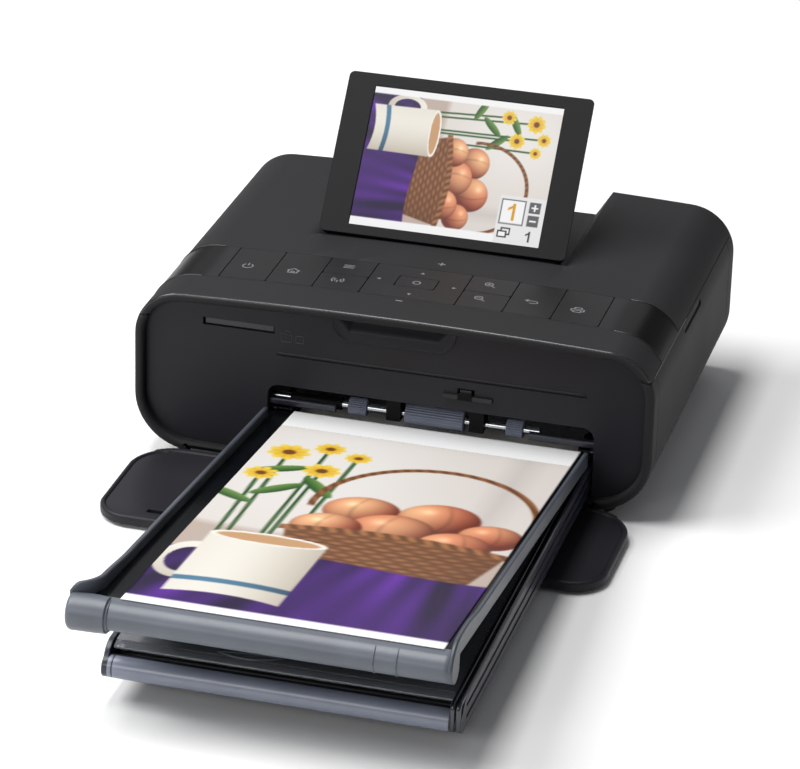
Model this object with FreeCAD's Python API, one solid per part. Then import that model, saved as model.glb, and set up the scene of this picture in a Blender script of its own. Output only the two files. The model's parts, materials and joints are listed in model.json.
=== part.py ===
import FreeCAD, Part
import math
import os

# A compact photo printer that stands free, drawn as in use: screen tilted up, front door folded
# down, paper cassette in place and a print lying on its lid. Millimetres, +X right, +Y back, +Z up.
# Places are counted from the body's front plane (y = 0), its middle (x = 0) and the floor (z = 0).
# At the end each piece is moved along Y, so that the origin lies under the middle of the whole.

# The paper sets the width: the cassette is as wide as a sheet and its sides, and the body leaves
# room beside the cassette for the ribbon door's hinge on the right and the gears on the left
sheetWidth = 100.0
sheetSideRoom = 6.3
ribbonSideRoom = 20.9
gearSideRoom = 47.1
cassetteWidth = sheetWidth + 2 * sheetSideRoom

# Driving sizes of the body
bodyWidth = cassetteWidth + ribbonSideRoom + gearSideRoom
bodyDepth = 135.9
bodyHeight = 61.2
footHeight = 2.0
wall = 2.0
topCorner = 16.7
bottomCorner = 20.0
crownRadius = 1930.0
rimWidth = 3.3
rimDepth = 3.4
panelThickness = 2.0
rearThickness = 2.4
seamHeight = 52.2
seamGap = 0.3
fitGap = 0.15
runningGap = 0.05
clearGap = 0.3
overrun = 1.0
tinyLength = 0.005

# Places that follow from the body's sizes
topZ = footHeight + bodyHeight
half = bodyWidth / 2
trayRight = half - ribbonSideRoom
trayLeft = trayRight - cassetteWidth
cassetteCentre = (trayLeft + trayRight) / 2
shellBack = bodyDepth - rearThickness
panelBack = rimDepth + panelThickness
coverBottom = seamHeight + seamGap / 2
caseTop = seamHeight - seamGap / 2

# Control strip and keys
stripFront = 17.5
stripBack = 44.5
ledgeThickness = 1.4
ledgeReach = 3.0
keyFront = 18.4
keyBack = 44.2
keySideReach = 24.1
keyColumns = 3
padWidth = 33.4
keyPitch = (half - keySideReach - padWidth / 2) / keyColumns
keyGap = 0.3
capThickness = 1.5
keyTravel = 0.25
stemRadius = 1.5
switchSize = 6.0
switchTop = 58.2
boardTop = 55.0
boardThickness = 1.4
okWidth = 13.6
okDepth = 8.2
okSetBack = 0.6
cornerRound = 0.8
padPivotThickness = 1.4
padPinRadius = 0.4
padPinReach = 1.4
padBearingWidth = 1.2
padBearingHalf = 1.1
padPivotArm = 3.0

# Screen unit: sizes are those of the unit lying flat, its places are counted from its hinge axis
screenTilt = 51.2
screenAxisY = 65.5
screenAxisZ = 57.6
screenFaceRise = 5.6
screenEdgeOffset = 4.2
screenUnitWidth = 88.4
screenUnitLength = 59.1
screenUnitThickness = 8.5
screenUnitRound = 2.0
displaySideBorder = 10.25
displayOffset = 3.6
displayTopBorder = 4.6
displayWidth = screenUnitWidth - 2 * displaySideBorder
displayLength = screenUnitLength - displayOffset - displayTopBorder
displayThickness = 2.4
displaySink = 0.4
bezelThickness = 2.2
screenWall = 1.6
armInset = 12.2
armInner = screenUnitWidth / 2 - armInset
armWidth = 7.0
armRadius = 3.0
armRise = 2.0
armLength = 6.0
screenPinRadius = 1.5
screenPinBite = 1.5

# Recess that the screen unit folds into
recessFront = 64.0
recessUndercut = 61.6
recessTopGap = 1.3
recessFloorInset = 4.9
recessTopHalf = screenUnitWidth / 2 + recessTopGap
recessFloorHalf = screenUnitWidth / 2 - recessFloorInset
recessFloor = 53.2

# Front door, folded down
doorPivotY = 1.1
doorPivotZ = 3.3
doorThickness = 3.0
doorSideInset = 3.6
doorHalfWidth = half - doorSideInset
doorBottom = 1.5
doorEdgeY = -0.6
doorReach = 55.6
doorHingeCorner = 16.0
doorFreeCorner = 12.0
doorHingeHalf = half - bottomCorner
doorBarrelRadius = 1.5
doorPinRadius = 0.7
doorPinLength = 9.0
doorLip = 2.0
doorPocket = 0.5
doorSlotWidth = 7.0
doorSlotDepth = 2.4
doorSlotInset = 21.0
doorSlotX = doorSlotInset - doorHalfWidth
doorSlotY = -48.4

# Front panel
openingSideGap = 0.5
openingLeft = trayLeft - openingSideGap
openingRight = trayRight + openingSideGap
openingTop = 31.5
openingRound = 4.0
cardSideInset = 23.5
cardWidth = 25.3
cardLeft = cardSideInset - half
cardRight = cardLeft + cardWidth
cardBottom = 50.3
cardHeight = 2.7
cardDepth = 26.0
cardShell = 0.5
scoopTopHalf = 21.3
scoopBottomHalf = 15.5
scoopTop = 60.6
scoopBottom = 54.0
scoopRound = 3.0
scoopDepth = 4.0
scoopWall = 1.2
grooveInset = 3.0
grooveLeft = openingLeft + grooveInset
grooveRight = openingRight - grooveInset
grooveZ = 42.4
grooveHeight = 0.7
grooveDepth = 0.5
catchLeft = 17.8
catchRight = 34.7
catchBottom = 36.0
catchTop = 37.4
catchHoleLeft = 22.6
catchHoleRight = 28.5
catchHoleTop = 39.6
catchReach = 1.0

# Ribbon door on the right side
ribbonDoorFront = 8.0
ribbonDoorBackInset = 7.9
ribbonDoorBack = bodyDepth - ribbonDoorBackInset
ribbonDoorBottom = 12.0
ribbonDoorGap = 0.3
ribbonPivotInset = 7.5
ribbonPivotX = half - ribbonPivotInset
ribbonPivotZ = 14.0
ribbonKnuckleRadius = 2.3
ribbonPinRadius = 1.2
ribbonSweep = 5.3
knuckleLength = 6.0
knuckleInset = 7.0
knuckleRise = 2.0
bossLength = 3.2
bossHalfHeight = 1.6
bossRibWidth = 3.0
fingerNotchFront = 51.0
fingerNotchBack = 78.5
fingerNotchHeight = 3.2
fingerNotchDepth = 1.1

# Feet and screws
footRadius = 5.0
footInset = 18.3
footX = half - footInset
footFrontY = 11.0
footBackInset = 16.9
footBackY = bodyDepth - footBackInset
screwInset = 26.3
screwX = half - screwInset
screwFrontY = 36.0
screwBackInset = 31.9
screwBackY = bodyDepth - screwBackInset
screwHeadRadius = 2.8
screwHeadHeight = 1.6
screwShankRadius = 1.4
screwLength = 9.0
screwSink = 0.8
screwBossRadius = 4.2
screwSlotHalf = 0.3

# Paper cassette
trayFront = -169.0
trayBack = 30.0
trayBottom = 8.0
trayTop = 18.6
trayWall = 1.6
trayFloor = 1.5
trayRollRadius = 3.5
traySideRound = 7.0
trayRearWall = 10.4
railGroove = 1.3
railGrooveDepth = 0.6
earHeight = 21.4
earHalfLength = 2.2
sheetLength = 181.0
sheetThickness = 0.25
sheetAside = 2.1
sheetCentre = cassetteCentre + sheetAside
sheetBackY = 7.0
sheetBackZ = 21.0
sheetSlope = 6.0
sheetSeat = 0.05
stackHeight = 4.0
stackBack = 27.6
plateThickness = 0.8
plateBottom = 10.3
plateFront = -156.0
plateBack = 28.4
plateRodRadius = 1.0
plateRodZ = 10.9
plateSideGap = 0.9
innerLidBottom = 17.0
innerLidThickness = 1.2
innerLidFront = -160.5
innerLidAxisY = 1.0
innerLidRodRadius = 0.9
rodBite = 1.0
lidAxisY = 10.0
lidThickness = 1.5
lidFront = -174.5
lidFlangeHeight = 3.4
lidFlangeWidth = 1.4
lidFlangeBack = -2.0
lidRollRadius = 4.4
lidRollY = -177.4
lidRollZ = 35.3
lidRollInset = 5.2
knobReach = 8.3
lidRollLeft = trayLeft + lidRollInset
knobLeft = trayLeft - knobReach
knobRadius = 6.0
finTop = 43.6
finThickness = 2.2
finRound = 3.0
lidPinRadius = 0.9
lidKnuckleRadius = 1.5
lidKnuckleLength = 4.0
earTop = 43.8
earThickness = 2.4
earLength = 11.0

# Paper path
exitY = 10.5
exitZ = 24.4
exitShaftRadius = 1.5
exitWideRadius = 3.6
exitSmallRadius = 3.0
exitShaftRight = 50.0
smallRollerLeft = -16.6
smallRollerLength = 6.4
wideRollerLeft = 3.4
wideRollerLength = 20.4
rightRollerLeft = 38.5
rightRollerLength = 5.8
clipLeft = -3.0
clipRight = 26.0
clipWidth = 5.0
clipHalfDepth = 3.0
clipFoot = 2.2
guideBarInnerLeft = -20.5
guideBarInnerRight = 47.0
guideBarFront = 6.0
guideBarBack = 8.4
guideBarBottom = 22.8
guideBarTop = 25.4
platenY = 61.0
platenZ = 20.5
platenRadius = 6.5
platenShaftRadius = 2.5
headFront = 52.0
headBack = 70.0
headGap = 1.4
headTop = 45.0
headFinPitch = 3.0
headFinWidth = 1.2
headFinDepth = 10.0

# Chassis
chassisLeftReach = 8.8
chassisRightReach = 3.1
chassisLeft = trayLeft - chassisLeftReach
chassisRight = trayRight + chassisRightReach
chassisThickness = 1.2
chassisFront = 5.7
chassisBackInset = 17.9
chassisBack = bodyDepth - chassisBackInset
chassisTop = 49.5
chassisBottomGap = 0.9
beamBottom = 32.6
beamFront = 7.4
beamBack = 13.8
rearBeamBottom = 30.0
rearBeamDepth = 6.0
windowFront = 22.5
windowBack = 101.0
shelfTop = 26.1
shelfReach = 7.0
shelfLength = 12.0
shelfSetBack = 0.6
bayFloorFront = 34.0

# Ribbon cassette
spoolZ = 37.6
takeupY = 36.0
supplyY = 86.0
housingRadius = 11.2
housingWall = 1.2
housingLeftInset = 8.0
housingRightInset = 5.5
housingLeft = chassisLeft + housingLeftInset
housingRight = chassisRight - housingRightInset
endPlateThickness = 2.0
ribbonSlotHalf = 4.0
coreRadius = 4.0
fullRollRadius = 8.8
emptyRollRadius = 5.4
spoolEndGap = 0.6
spoolStubRadius = 2.4
ribbonGripDepth = 4.0
ribbonGripHalf = 9.0
ribbonTravel = 2.0

# Gear train on the left of the chassis
gearModule = 0.5
pressureAngle = 20.0
gearBacklash = 0.24
gearRight = chassisLeft - chassisThickness
gearWidth = 4.0
platenTeeth = 50
exitTeeth = 16
idlerTeeth = 70
motorTeeth = 16
idlerAxleRadius = 2.0
gearBossRadius = 3.6
motorAngle = 58.0
motorRadius = 12.0
motorLength = 22.0
motorShaftRadius = 1.0
bracketGap = 1.0
bracketThickness = 1.2
bracketMargin = 3.0

# Electrics
fanSize = 30.0
fanDepth = 9.0
fanInset = 24.3
fanCentreX = fanInset - half
fanCentreZ = 27.0
fanBoreRadius = 13.6
fanHubRadius = 6.0
fanBladeReach = 12.9
fanBladeWidth = 1.2
fanBladePitch = 35.0
fanBladeCount = 7
fanAxleRadius = 1.2
fanStrutWidth = 2.2
mainBoardLeftInset = 4.0
mainBoardRightInset = 18.5
mainBoardLeft = chassisLeft + mainBoardLeftInset
mainBoardRight = chassisRight - mainBoardRightInset
mainBoardFront = 76.0
mainBoardBackInset = 8.9
mainBoardBack = bodyDepth - mainBoardBackInset
mainBoardZ = 9.4
mainBoardThickness = 1.6
postRadius = 2.2
chipHeight = 2.4
chipSize = 14.0
portDepth = 10.4
portFront = bodyDepth - portDepth
usbInset = 26.0
usbLeft = mainBoardLeft + usbInset
usbWidth = 12.6
usbHeight = 11.4
usbWall = 0.8
jackInset = 14.0
jackLeft = mainBoardRight - jackInset
jackWidth = 10.0
jackHeight = 11.0
jackBoreRadius = 3.2
jackPinRadius = 0.9
jackDepth = 8.0
lockSlotInset = 12.3
lockSlotX = lockSlotInset - half
lockSlotZ = 49.0
lockSlotWidth = 7.0
lockSlotHeight = 3.2
paperSlotInset = 1.2
paperSlotLeft = trayLeft + paperSlotInset
paperSlotRight = trayRight - paperSlotInset
paperSlotBottom = 23.4
paperSlotTop = 30.0
ventWidth = 1.8
ventPitch = 3.6
ventCount = 8
knobRound = 0.7

# Gears: shares of the module that the teeth reach in and out, and steps along a flank
tipShare = 0.9
rootShare = 1.25
flankShares = [0, 0.35, 0.7, 1]

# Chips on the main board: width, depth, height and places as shares of the chip size
chipPitchShare = 1.6
chipStaggerShare = 0.8
chipShrinkShare = 0.15
chipDepthShare = 0.7
chipGrowShare = 0.3
tongueLowShare = 0.35
tongueHighShare = 0.65

# Slope of the print, and the move that puts the origin under the middle
slopeRise = math.tan(math.radians(sheetSlope))
shiftY = ((bodyDepth - (lidRollY - knobRadius)) / 2) - bodyDepth
nodes = {}


def vec(x, y, z):
    return FreeCAD.Vector(x, y, z)


def block(x0, x1, y0, y1, z0, z1):
    return Part.makeBox(x1 - x0, y1 - y0, z1 - z0, vec(x0, y0, z0))


def rodX(x0, x1, y, z, radius):
    return Part.makeCylinder(radius, x1 - x0, vec(x0, y, z), vec(1, 0, 0))


def rodY(y0, y1, x, z, radius):
    return Part.makeCylinder(radius, y1 - y0, vec(x, y0, z), vec(0, 1, 0))


def rodZ(z0, z1, x, y, radius):
    return Part.makeCylinder(radius, z1 - z0, vec(x, y, z0), vec(0, 0, 1))


def fuse(shapes):
    whole = shapes[0]
    if len(shapes) > 1:
        whole = whole.fuse(shapes[1:])
    return whole.removeSplitter()


def cut(shape, tools):
    return shape.cut(tools)


def inPlane(plane, a, b, height):
    # A flat point (a, b) set in the XY, XZ or YZ plane, at a height along the third axis
    if plane == "XY":
        return vec(a, b, height)
    if plane == "XZ":
        return vec(a, height, b)
    return vec(height, a, b)


def roundedLoop(points, radii, plane, height):
    # A closed loop of straight sides, with each corner rounded by a tangent arc of its radius
    count = len(points)
    corners = []
    for i in range(count):
        corner = points[i]
        before = points[i - 1]
        after = points[(i + 1) % count]
        back = (before[0] - corner[0], before[1] - corner[1])
        ahead = (after[0] - corner[0], after[1] - corner[1])
        backLength = math.hypot(back[0], back[1])
        aheadLength = math.hypot(ahead[0], ahead[1])
        back = (back[0] / backLength, back[1] / backLength)
        ahead = (ahead[0] / aheadLength, ahead[1] / aheadLength)
        radius = radii[i]
        if radius == 0:
            corners.append((corner, None, corner))
            continue
        halfAngle = math.acos(max(-1, min(1, back[0] * ahead[0] + back[1] * ahead[1]))) / 2
        reach = radius / math.tan(halfAngle)
        middle = (back[0] + ahead[0], back[1] + ahead[1])
        middleLength = math.hypot(middle[0], middle[1])
        depth = (radius / math.sin(halfAngle) - radius) / middleLength
        start = (corner[0] + back[0] * reach, corner[1] + back[1] * reach)
        end = (corner[0] + ahead[0] * reach, corner[1] + ahead[1] * reach)
        top = (corner[0] + middle[0] * depth, corner[1] + middle[1] * depth)
        corners.append((start, top, end))
    edges = []
    for i in range(count):
        start, top, end = corners[i]
        if top is not None:
            arc = Part.Arc(inPlane(plane, *start, height), inPlane(plane, *top, height),
                           inPlane(plane, *end, height))
            edges.append(arc.toShape())
        following = corners[(i + 1) % count][0]
        a = inPlane(plane, *end, height)
        b = inPlane(plane, *following, height)
        if a.distanceToPoint(b) > tinyLength:
            edges.append(Part.makeLine(a, b))
    return Part.Wire(edges)


def slab(points, radii, plane, low, high):
    # A plate of the given outline between two heights along the plane's third axis
    face = Part.Face(roundedLoop(points, radii, plane, low))
    return face.extrude(inPlane(plane, 0, 0, high - low))


def rectangle(a0, a1, b0, b1):
    return [(a0, b0), (a1, b0), (a1, b1), (a0, b1)]


def roundedBlock(x0, x1, y0, y1, z0, z1, radius, plane="XY"):
    sides = {"XY": (x0, x1, y0, y1, z0, z1), "XZ": (x0, x1, z0, z1, y0, y1),
             "YZ": (y0, y1, z0, z1, x0, x1)}
    a0, a1, b0, b1, low, high = sides[plane]
    return slab(rectangle(a0, a1, b0, b1), [radius] * 4, plane, low, high)


def cornerArc(centreX, centreZ, radius, startX, startZ, endX, endZ):
    startAngle = math.atan2(startZ - centreZ, startX - centreX)
    endAngle = math.atan2(endZ - centreZ, endX - centreX)
    middle = (startAngle + endAngle) / 2
    if abs(startAngle - endAngle) > math.pi:
        middle = middle + math.pi
    through = vec(centreX + radius * math.cos(middle), 0, centreZ + radius * math.sin(middle))
    return Part.Arc(vec(startX, 0, startZ), through, vec(endX, 0, endZ)).toShape()


def bodyOutline(inset):
    # The body's cross-section: crowned top and bottom, upright sides and round corners.
    # An inset moves every side inwards by the same amount.
    side = half - inset
    big = crownRadius - inset
    topRound = topCorner - inset
    lowRound = bottomCorner - inset
    crownZ = topZ - inset - big
    keelZ = footHeight + inset + big
    topX = side - topRound
    topCentre = crownZ + math.sqrt((big - topRound) ** 2 - topX ** 2)
    lowX = side - lowRound
    lowCentre = keelZ - math.sqrt((big - lowRound) ** 2 - lowX ** 2)
    topShare = big / (big - topRound)
    lowShare = big / (big - lowRound)
    topPointX = topX * topShare
    topPointZ = crownZ + (topCentre - crownZ) * topShare
    lowPointX = lowX * lowShare
    lowPointZ = keelZ + (lowCentre - keelZ) * lowShare
    crownTop = vec(0, 0, topZ - inset)
    keelLow = vec(0, 0, footHeight + inset)
    edges = [
        Part.Arc(vec(-topPointX, 0, topPointZ), crownTop, vec(topPointX, 0, topPointZ)).toShape(),
        cornerArc(topX, topCentre, topRound, topPointX, topPointZ, side, topCentre),
        Part.makeLine(vec(side, 0, topCentre), vec(side, 0, lowCentre)),
        cornerArc(lowX, lowCentre, lowRound, side, lowCentre, lowPointX, lowPointZ),
        Part.Arc(vec(lowPointX, 0, lowPointZ), keelLow, vec(-lowPointX, 0, lowPointZ)).toShape(),
        cornerArc(-lowX, lowCentre, lowRound, -lowPointX, lowPointZ, -side, lowCentre),
        Part.makeLine(vec(-side, 0, lowCentre), vec(-side, 0, topCentre)),
        cornerArc(-topX, topCentre, topRound, -side, topCentre, -topPointX, topPointZ),
    ]
    return Part.Wire(edges)


def bodyPrism(inset, y0, y1):
    face = Part.Face(bodyOutline(inset))
    face.translate(vec(0, y0, 0))
    return face.extrude(vec(0, y1 - y0, 0))


def between(z0, z1):
    return block(-bodyWidth, bodyWidth, -bodyDepth * 2, bodyDepth * 2, z0, z1)


def recessSpace(low, high, grow, y0, y1):
    # The slanted trough over the screen's hinge, wider at its top
    slope = (recessTopHalf - recessFloorHalf) / (topZ - recessFloor)
    lowHalf = recessFloorHalf + (low - recessFloor) * slope + grow
    highHalf = recessFloorHalf + (high - recessFloor) * slope + grow
    outline = [(-lowHalf, low), (lowHalf, low), (highHalf, high), (-highHalf, high)]
    return slab(outline, [0] * 4, "XZ", y0, y1)


def screenRecess():
    trough = recessSpace(recessFloor, topZ + overrun, 0, recessFront, bodyDepth + overrun)
    undercut = recessSpace(recessFloor, topZ - wall - wall / 2, 0, recessUndercut, recessFront + overrun)
    return trough.fuse(undercut)


def caseShell():
    # The body's skin: a thick rim round the front, then a thinner wall to the back
    skin = bodyPrism(0, 0, shellBack)
    hollow = bodyPrism(wall, rimDepth, shellBack + overrun)
    mouth = bodyPrism(rimWidth, -overrun, rimDepth + overrun)
    return cut(skin, [hollow, mouth])


def ribbonKnuckles():
    return [ribbonDoorFront + knuckleInset, ribbonDoorBack - knuckleInset - knuckleLength]


def screwPlaces():
    return [(side * screwX, y) for side in (-1, 1) for y in (screwFrontY, screwBackY)]


def lowerCase(shell):
    case = shell.common(between(0, caseTop))
    sideOpening = block(
        ribbonPivotX - ribbonKnuckleRadius, half + overrun,
        ribbonDoorFront - ribbonDoorGap, ribbonDoorBack + ribbonDoorGap,
        ribbonDoorBottom - ribbonDoorGap, topZ)
    sweep = rodY(ribbonDoorFront - ribbonDoorGap, ribbonDoorBack + ribbonDoorGap, ribbonPivotX,
                 ribbonPivotZ, ribbonSweep)
    hingeGap = block(
        -doorHingeHalf, doorHingeHalf, -overrun, doorPivotY + doorBarrelRadius + clearGap,
        0, doorPivotZ + doorBarrelRadius + clearGap)
    case = cut(case, [sideOpening, sweep, hingeGap])
    extras = []
    inside = bodyPrism(wall / 2, rimDepth, shellBack)
    for y in ribbonKnuckles():
        for y0 in (y - clearGap - bossLength, y + knuckleLength + clearGap):
            armTop = ribbonPivotZ + ribbonKnuckleRadius
            arm = block(ribbonPivotX - 2 * bossRibWidth, ribbonPivotX, y0, y0 + bossLength,
                        ribbonPivotZ + clearGap, armTop)
            rib = block(ribbonPivotX - 3 * bossRibWidth, ribbonPivotX - 2 * bossRibWidth, y0, y0 + bossLength,
                        footHeight, armTop)
            eye = rodY(y0, y0 + bossLength, ribbonPivotX, ribbonPivotZ, ribbonKnuckleRadius)
            extras.append(fuse([arm, rib.common(inside), eye]))
    for x, y in screwPlaces():
        extras.append(rodZ(footHeight, footHeight + screwLength + wall, x, y,
                           screwBossRadius).common(inside))
    for side in (-1, 1):
        lug = block(
            min(side * doorHingeHalf, side * (doorHingeHalf + doorPinLength / 2)),
            max(side * doorHingeHalf, side * (doorHingeHalf + doorPinLength / 2)),
            0, rimDepth, footHeight, doorPivotZ + doorBarrelRadius + wall)
        extras.append(lug.common(bodyPrism(0, 0, rimDepth)))
    case = fuse([case] + extras)
    holes = []
    for y in ribbonKnuckles():
        holes.append(rodY(y - bossLength - clearGap, y + knuckleLength + bossLength + clearGap,
                          ribbonPivotX, ribbonPivotZ, ribbonPinRadius))
    for x, y in screwPlaces():
        holes.append(rodZ(0, footHeight + screwSink + screwHeadHeight, x, y, screwHeadRadius))
        holes.append(rodZ(0, footHeight + screwSink + screwHeadHeight + screwLength, x, y,
                          screwShankRadius))
    for side in (-1, 1):
        x0 = side * doorHingeHalf - doorPinLength / 2
        holes.append(rodX(x0, x0 + doorPinLength, doorPivotY, doorPivotZ, doorPinRadius))
    return cut(case, holes)


def topCover(shell):
    cover = shell.common(between(coverBottom, topZ + overrun))
    band = bodyPrism(-overrun, stripFront - fitGap, stripBack + fitGap).cut(
        bodyPrism(wall, stripFront - overrun, stripBack + overrun))
    cover = cut(cover, [band.common(between(coverBottom, topZ + overrun))])
    ledge = bodyPrism(wall, stripFront - ledgeReach, stripBack + ledgeReach).cut(
        bodyPrism(wall + ledgeThickness, stripFront - ledgeReach - overrun,
                  stripBack + ledgeReach + overrun))
    ledge = ledge.common(between(coverBottom, topZ))
    tub = recessSpace(recessFloor - wall, topZ, wall, recessUndercut - wall, shellBack)
    tub = tub.common(bodyPrism(wall / 2, recessUndercut - wall, shellBack))
    posts = []
    for x in (-keysHalf() - 3 * wall, keysHalf() + 3 * wall):
        for y in (keyFront + wall, keyBack - wall):
            post = rodZ(boardTop, topZ, x, y, postRadius).common(bodyPrism(wall, 0, shellBack))
            posts.append(post)
    cover = fuse([cover, ledge, tub] + posts)
    window = block(-keysHalf() + wall / 2, keysHalf() - wall / 2, keyFront + wall / 2, keyBack - wall / 2,
                   coverBottom, topZ + overrun)
    pins = [rodX(-recessTopHalf, recessTopHalf, screenAxisY, screenAxisZ, screenPinRadius)]
    return cut(cover, [window, screenRecess()] + pins)


def keysHalf():
    return padWidth / 2 + keyColumns * keyPitch


def frontPanel():
    panel = bodyPrism(wall + fitGap, rimDepth, panelBack)
    scoopOutline = [(-scoopBottomHalf, scoopBottom), (scoopBottomHalf, scoopBottom),
                    (scoopTopHalf, scoopTop), (-scoopTopHalf, scoopTop)]
    scoopRadii = [scoopRound, scoopRound, 0, 0]
    backing = [(-scoopBottomHalf - scoopWall, scoopBottom - scoopWall),
               (scoopBottomHalf + scoopWall, scoopBottom - scoopWall),
               (scoopTopHalf + scoopWall, scoopTop), (-scoopTopHalf - scoopWall, scoopTop)]
    dish = slab(backing, [scoopRound + scoopWall, scoopRound + scoopWall, 0, 0], "XZ",
                rimDepth, rimDepth + scoopDepth + scoopWall)
    panel = fuse([panel, dish.common(bodyPrism(wall + fitGap, 0, shellBack))])
    scoop = slab(scoopOutline, scoopRadii, "XZ", rimDepth - overrun, rimDepth + scoopDepth)
    opening = slab(rectangle(openingLeft, openingRight, 0, openingTop),
                   [0, 0, openingRound, openingRound],
                   "XZ", rimDepth - overrun, panelBack + overrun)
    card = block(cardLeft, cardRight, rimDepth - overrun, panelBack + overrun, cardBottom,
                 cardBottom + cardHeight)
    groove = block(grooveLeft, grooveRight, rimDepth - overrun, rimDepth + grooveDepth, grooveZ,
                   grooveZ + grooveHeight)
    catchHole = block(catchHoleLeft, catchHoleRight, rimDepth - overrun, panelBack + overrun, catchTop,
                      catchHoleTop)
    barrelRoom = block(-doorHingeHalf, doorHingeHalf, 0, doorPivotY + doorBarrelRadius + clearGap,
                       0, doorPivotZ + doorBarrelRadius + clearGap)
    return cut(panel, [scoop, opening, card, groove, catchHole, barrelRoom])


def doorLatch():
    bar = block(catchLeft, catchRight, rimDepth - catchReach, rimDepth, catchBottom, catchTop)
    spring = block(catchHoleLeft + wall / 2, catchHoleRight - wall / 2, rimDepth - catchReach / 2,
                   panelBack,
                   catchTop - wall / 2, catchHoleTop - clearGap)
    return fuse([bar, spring.cut(block(catchLeft, catchRight, rimDepth, panelBack + overrun, 0,
                                       catchTop))])


def rearCover():
    plate = bodyPrism(0, shellBack, bodyDepth)
    holes = [screenRecess()]
    holes.append(roundedBlock(paperSlotLeft, paperSlotRight, shellBack - overrun, bodyDepth + overrun,
                              paperSlotBottom, paperSlotTop, ventWidth / 2, "XZ"))
    for i in range(ventCount):
        x = fanCentreX + (i - (ventCount - 1) / 2) * ventPitch
        vent = roundedBlock(x - ventWidth / 2, x + ventWidth / 2, shellBack - overrun, bodyDepth + overrun,
                            fanCentreZ - fanBoreRadius, fanCentreZ + fanBoreRadius, ventWidth / 3, "XZ")
        holes.append(vent)
    portBottom = mainBoardZ + mainBoardThickness
    holes.append(block(usbLeft - fitGap, usbLeft + usbWidth + fitGap, shellBack - overrun,
                       bodyDepth + overrun,
                       portBottom - fitGap, portBottom + usbHeight + fitGap))
    holes.append(block(jackLeft - fitGap, jackLeft + jackWidth + fitGap, shellBack - overrun,
                       bodyDepth + overrun,
                       portBottom - fitGap, portBottom + jackHeight + fitGap))
    holes.append(block(lockSlotX - lockSlotWidth / 2, lockSlotX + lockSlotWidth / 2, shellBack - overrun,
                       bodyDepth + overrun, lockSlotZ - lockSlotHeight, lockSlotZ))
    return cut(plate, holes)


def ribbonDoor(shell):
    panel = block(ribbonPivotX, half + overrun, ribbonDoorFront, ribbonDoorBack, ribbonDoorBottom,
                  caseTop)
    lip = rodY(ribbonDoorFront, ribbonDoorBack, ribbonPivotX, ribbonPivotZ, ribbonSweep - ribbonDoorGap)
    lip = lip.common(between(0, ribbonPivotZ))
    pieces = [shell.common(panel.fuse(lip))]
    for y in ribbonKnuckles():
        eye = rodY(y, y + knuckleLength, ribbonPivotX, ribbonPivotZ, ribbonKnuckleRadius)
        web = block(ribbonPivotX, half, y, y + knuckleLength, ribbonPivotZ - bossHalfHeight,
                    ribbonPivotZ + knuckleRise)
        pieces.append(fuse([eye, web.common(bodyPrism(wall / 2, 0, shellBack))]))
    door = fuse(pieces)
    holes = []
    for y in ribbonKnuckles():
        holes.append(rodY(y - overrun, y + knuckleLength + overrun, ribbonPivotX, ribbonPivotZ,
                          ribbonPinRadius + runningGap))
    notch = roundedBlock(half - fingerNotchDepth, half + overrun, fingerNotchFront, fingerNotchBack,
                         caseTop - fingerNotchHeight, topZ, fingerNotchDepth, "YZ")
    return cut(door, holes + [notch])


def ribbonDoorPins():
    pins = []
    for y in ribbonKnuckles():
        pins.append(rodY(y - bossLength - clearGap, y + knuckleLength + bossLength + clearGap,
                         ribbonPivotX, ribbonPivotZ, ribbonPinRadius))
    return Part.makeCompound(pins)


def frontDoor():
    outline = rectangle(-doorHalfWidth, doorHalfWidth, -doorReach, doorEdgeY)
    corners = [doorFreeCorner, doorFreeCorner, doorHingeCorner, doorHingeCorner]
    plate = slab(outline, corners, "XY", doorBottom, doorBottom + doorThickness)
    pocketOutline = rectangle(-doorHalfWidth + doorLip, doorHalfWidth - doorLip, -doorReach + doorLip,
                              doorEdgeY - doorLip)
    pocketCorners = [corner - doorLip for corner in corners]
    pocket = slab(pocketOutline, pocketCorners, "XY", doorBottom + doorThickness - doorPocket,
                  doorBottom + doorThickness + overrun)
    barrelHalf = doorHingeHalf - clearGap
    barrel = rodX(-barrelHalf, barrelHalf, doorPivotY, doorPivotZ, doorBarrelRadius)
    web = block(-barrelHalf, barrelHalf, doorEdgeY - doorLip, doorPivotY,
                doorPivotZ - doorBarrelRadius, doorPivotZ + doorBarrelRadius / 2)
    slotX0 = doorSlotX - doorSlotWidth / 2
    slotY0 = doorSlotY - doorSlotDepth / 2
    slot = roundedBlock(slotX0, slotX0 + doorSlotWidth, slotY0, slotY0 + doorSlotDepth,
                        doorBottom - overrun, doorBottom + doorThickness, doorSlotDepth / 3)
    door = fuse([plate.cut(pocket), barrel, web])
    holes = [slot]
    for side in (-1, 1):
        x0 = side * doorHingeHalf - doorPinLength / 2 - overrun
        holes.append(rodX(x0, x0 + doorPinLength + 2 * overrun, doorPivotY, doorPivotZ,
                          doorPinRadius + runningGap))
    return cut(door, holes)


def frontDoorPins():
    pins = []
    for side in (-1, 1):
        x0 = side * doorHingeHalf - doorPinLength / 2
        pins.append(rodX(x0, x0 + doorPinLength, doorPivotY, doorPivotZ, doorPinRadius))
    return Part.makeCompound(pins)


def feet():
    pads = []
    body = bodyPrism(0, 0, bodyDepth)
    for x in (-footX, footX):
        for y in (footFrontY, footBackY):
            pads.append(rodZ(0, bottomCorner / 2, x, y, footRadius).cut(body))
    return Part.makeCompound([pad.Solids[0] for pad in pads])


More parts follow.
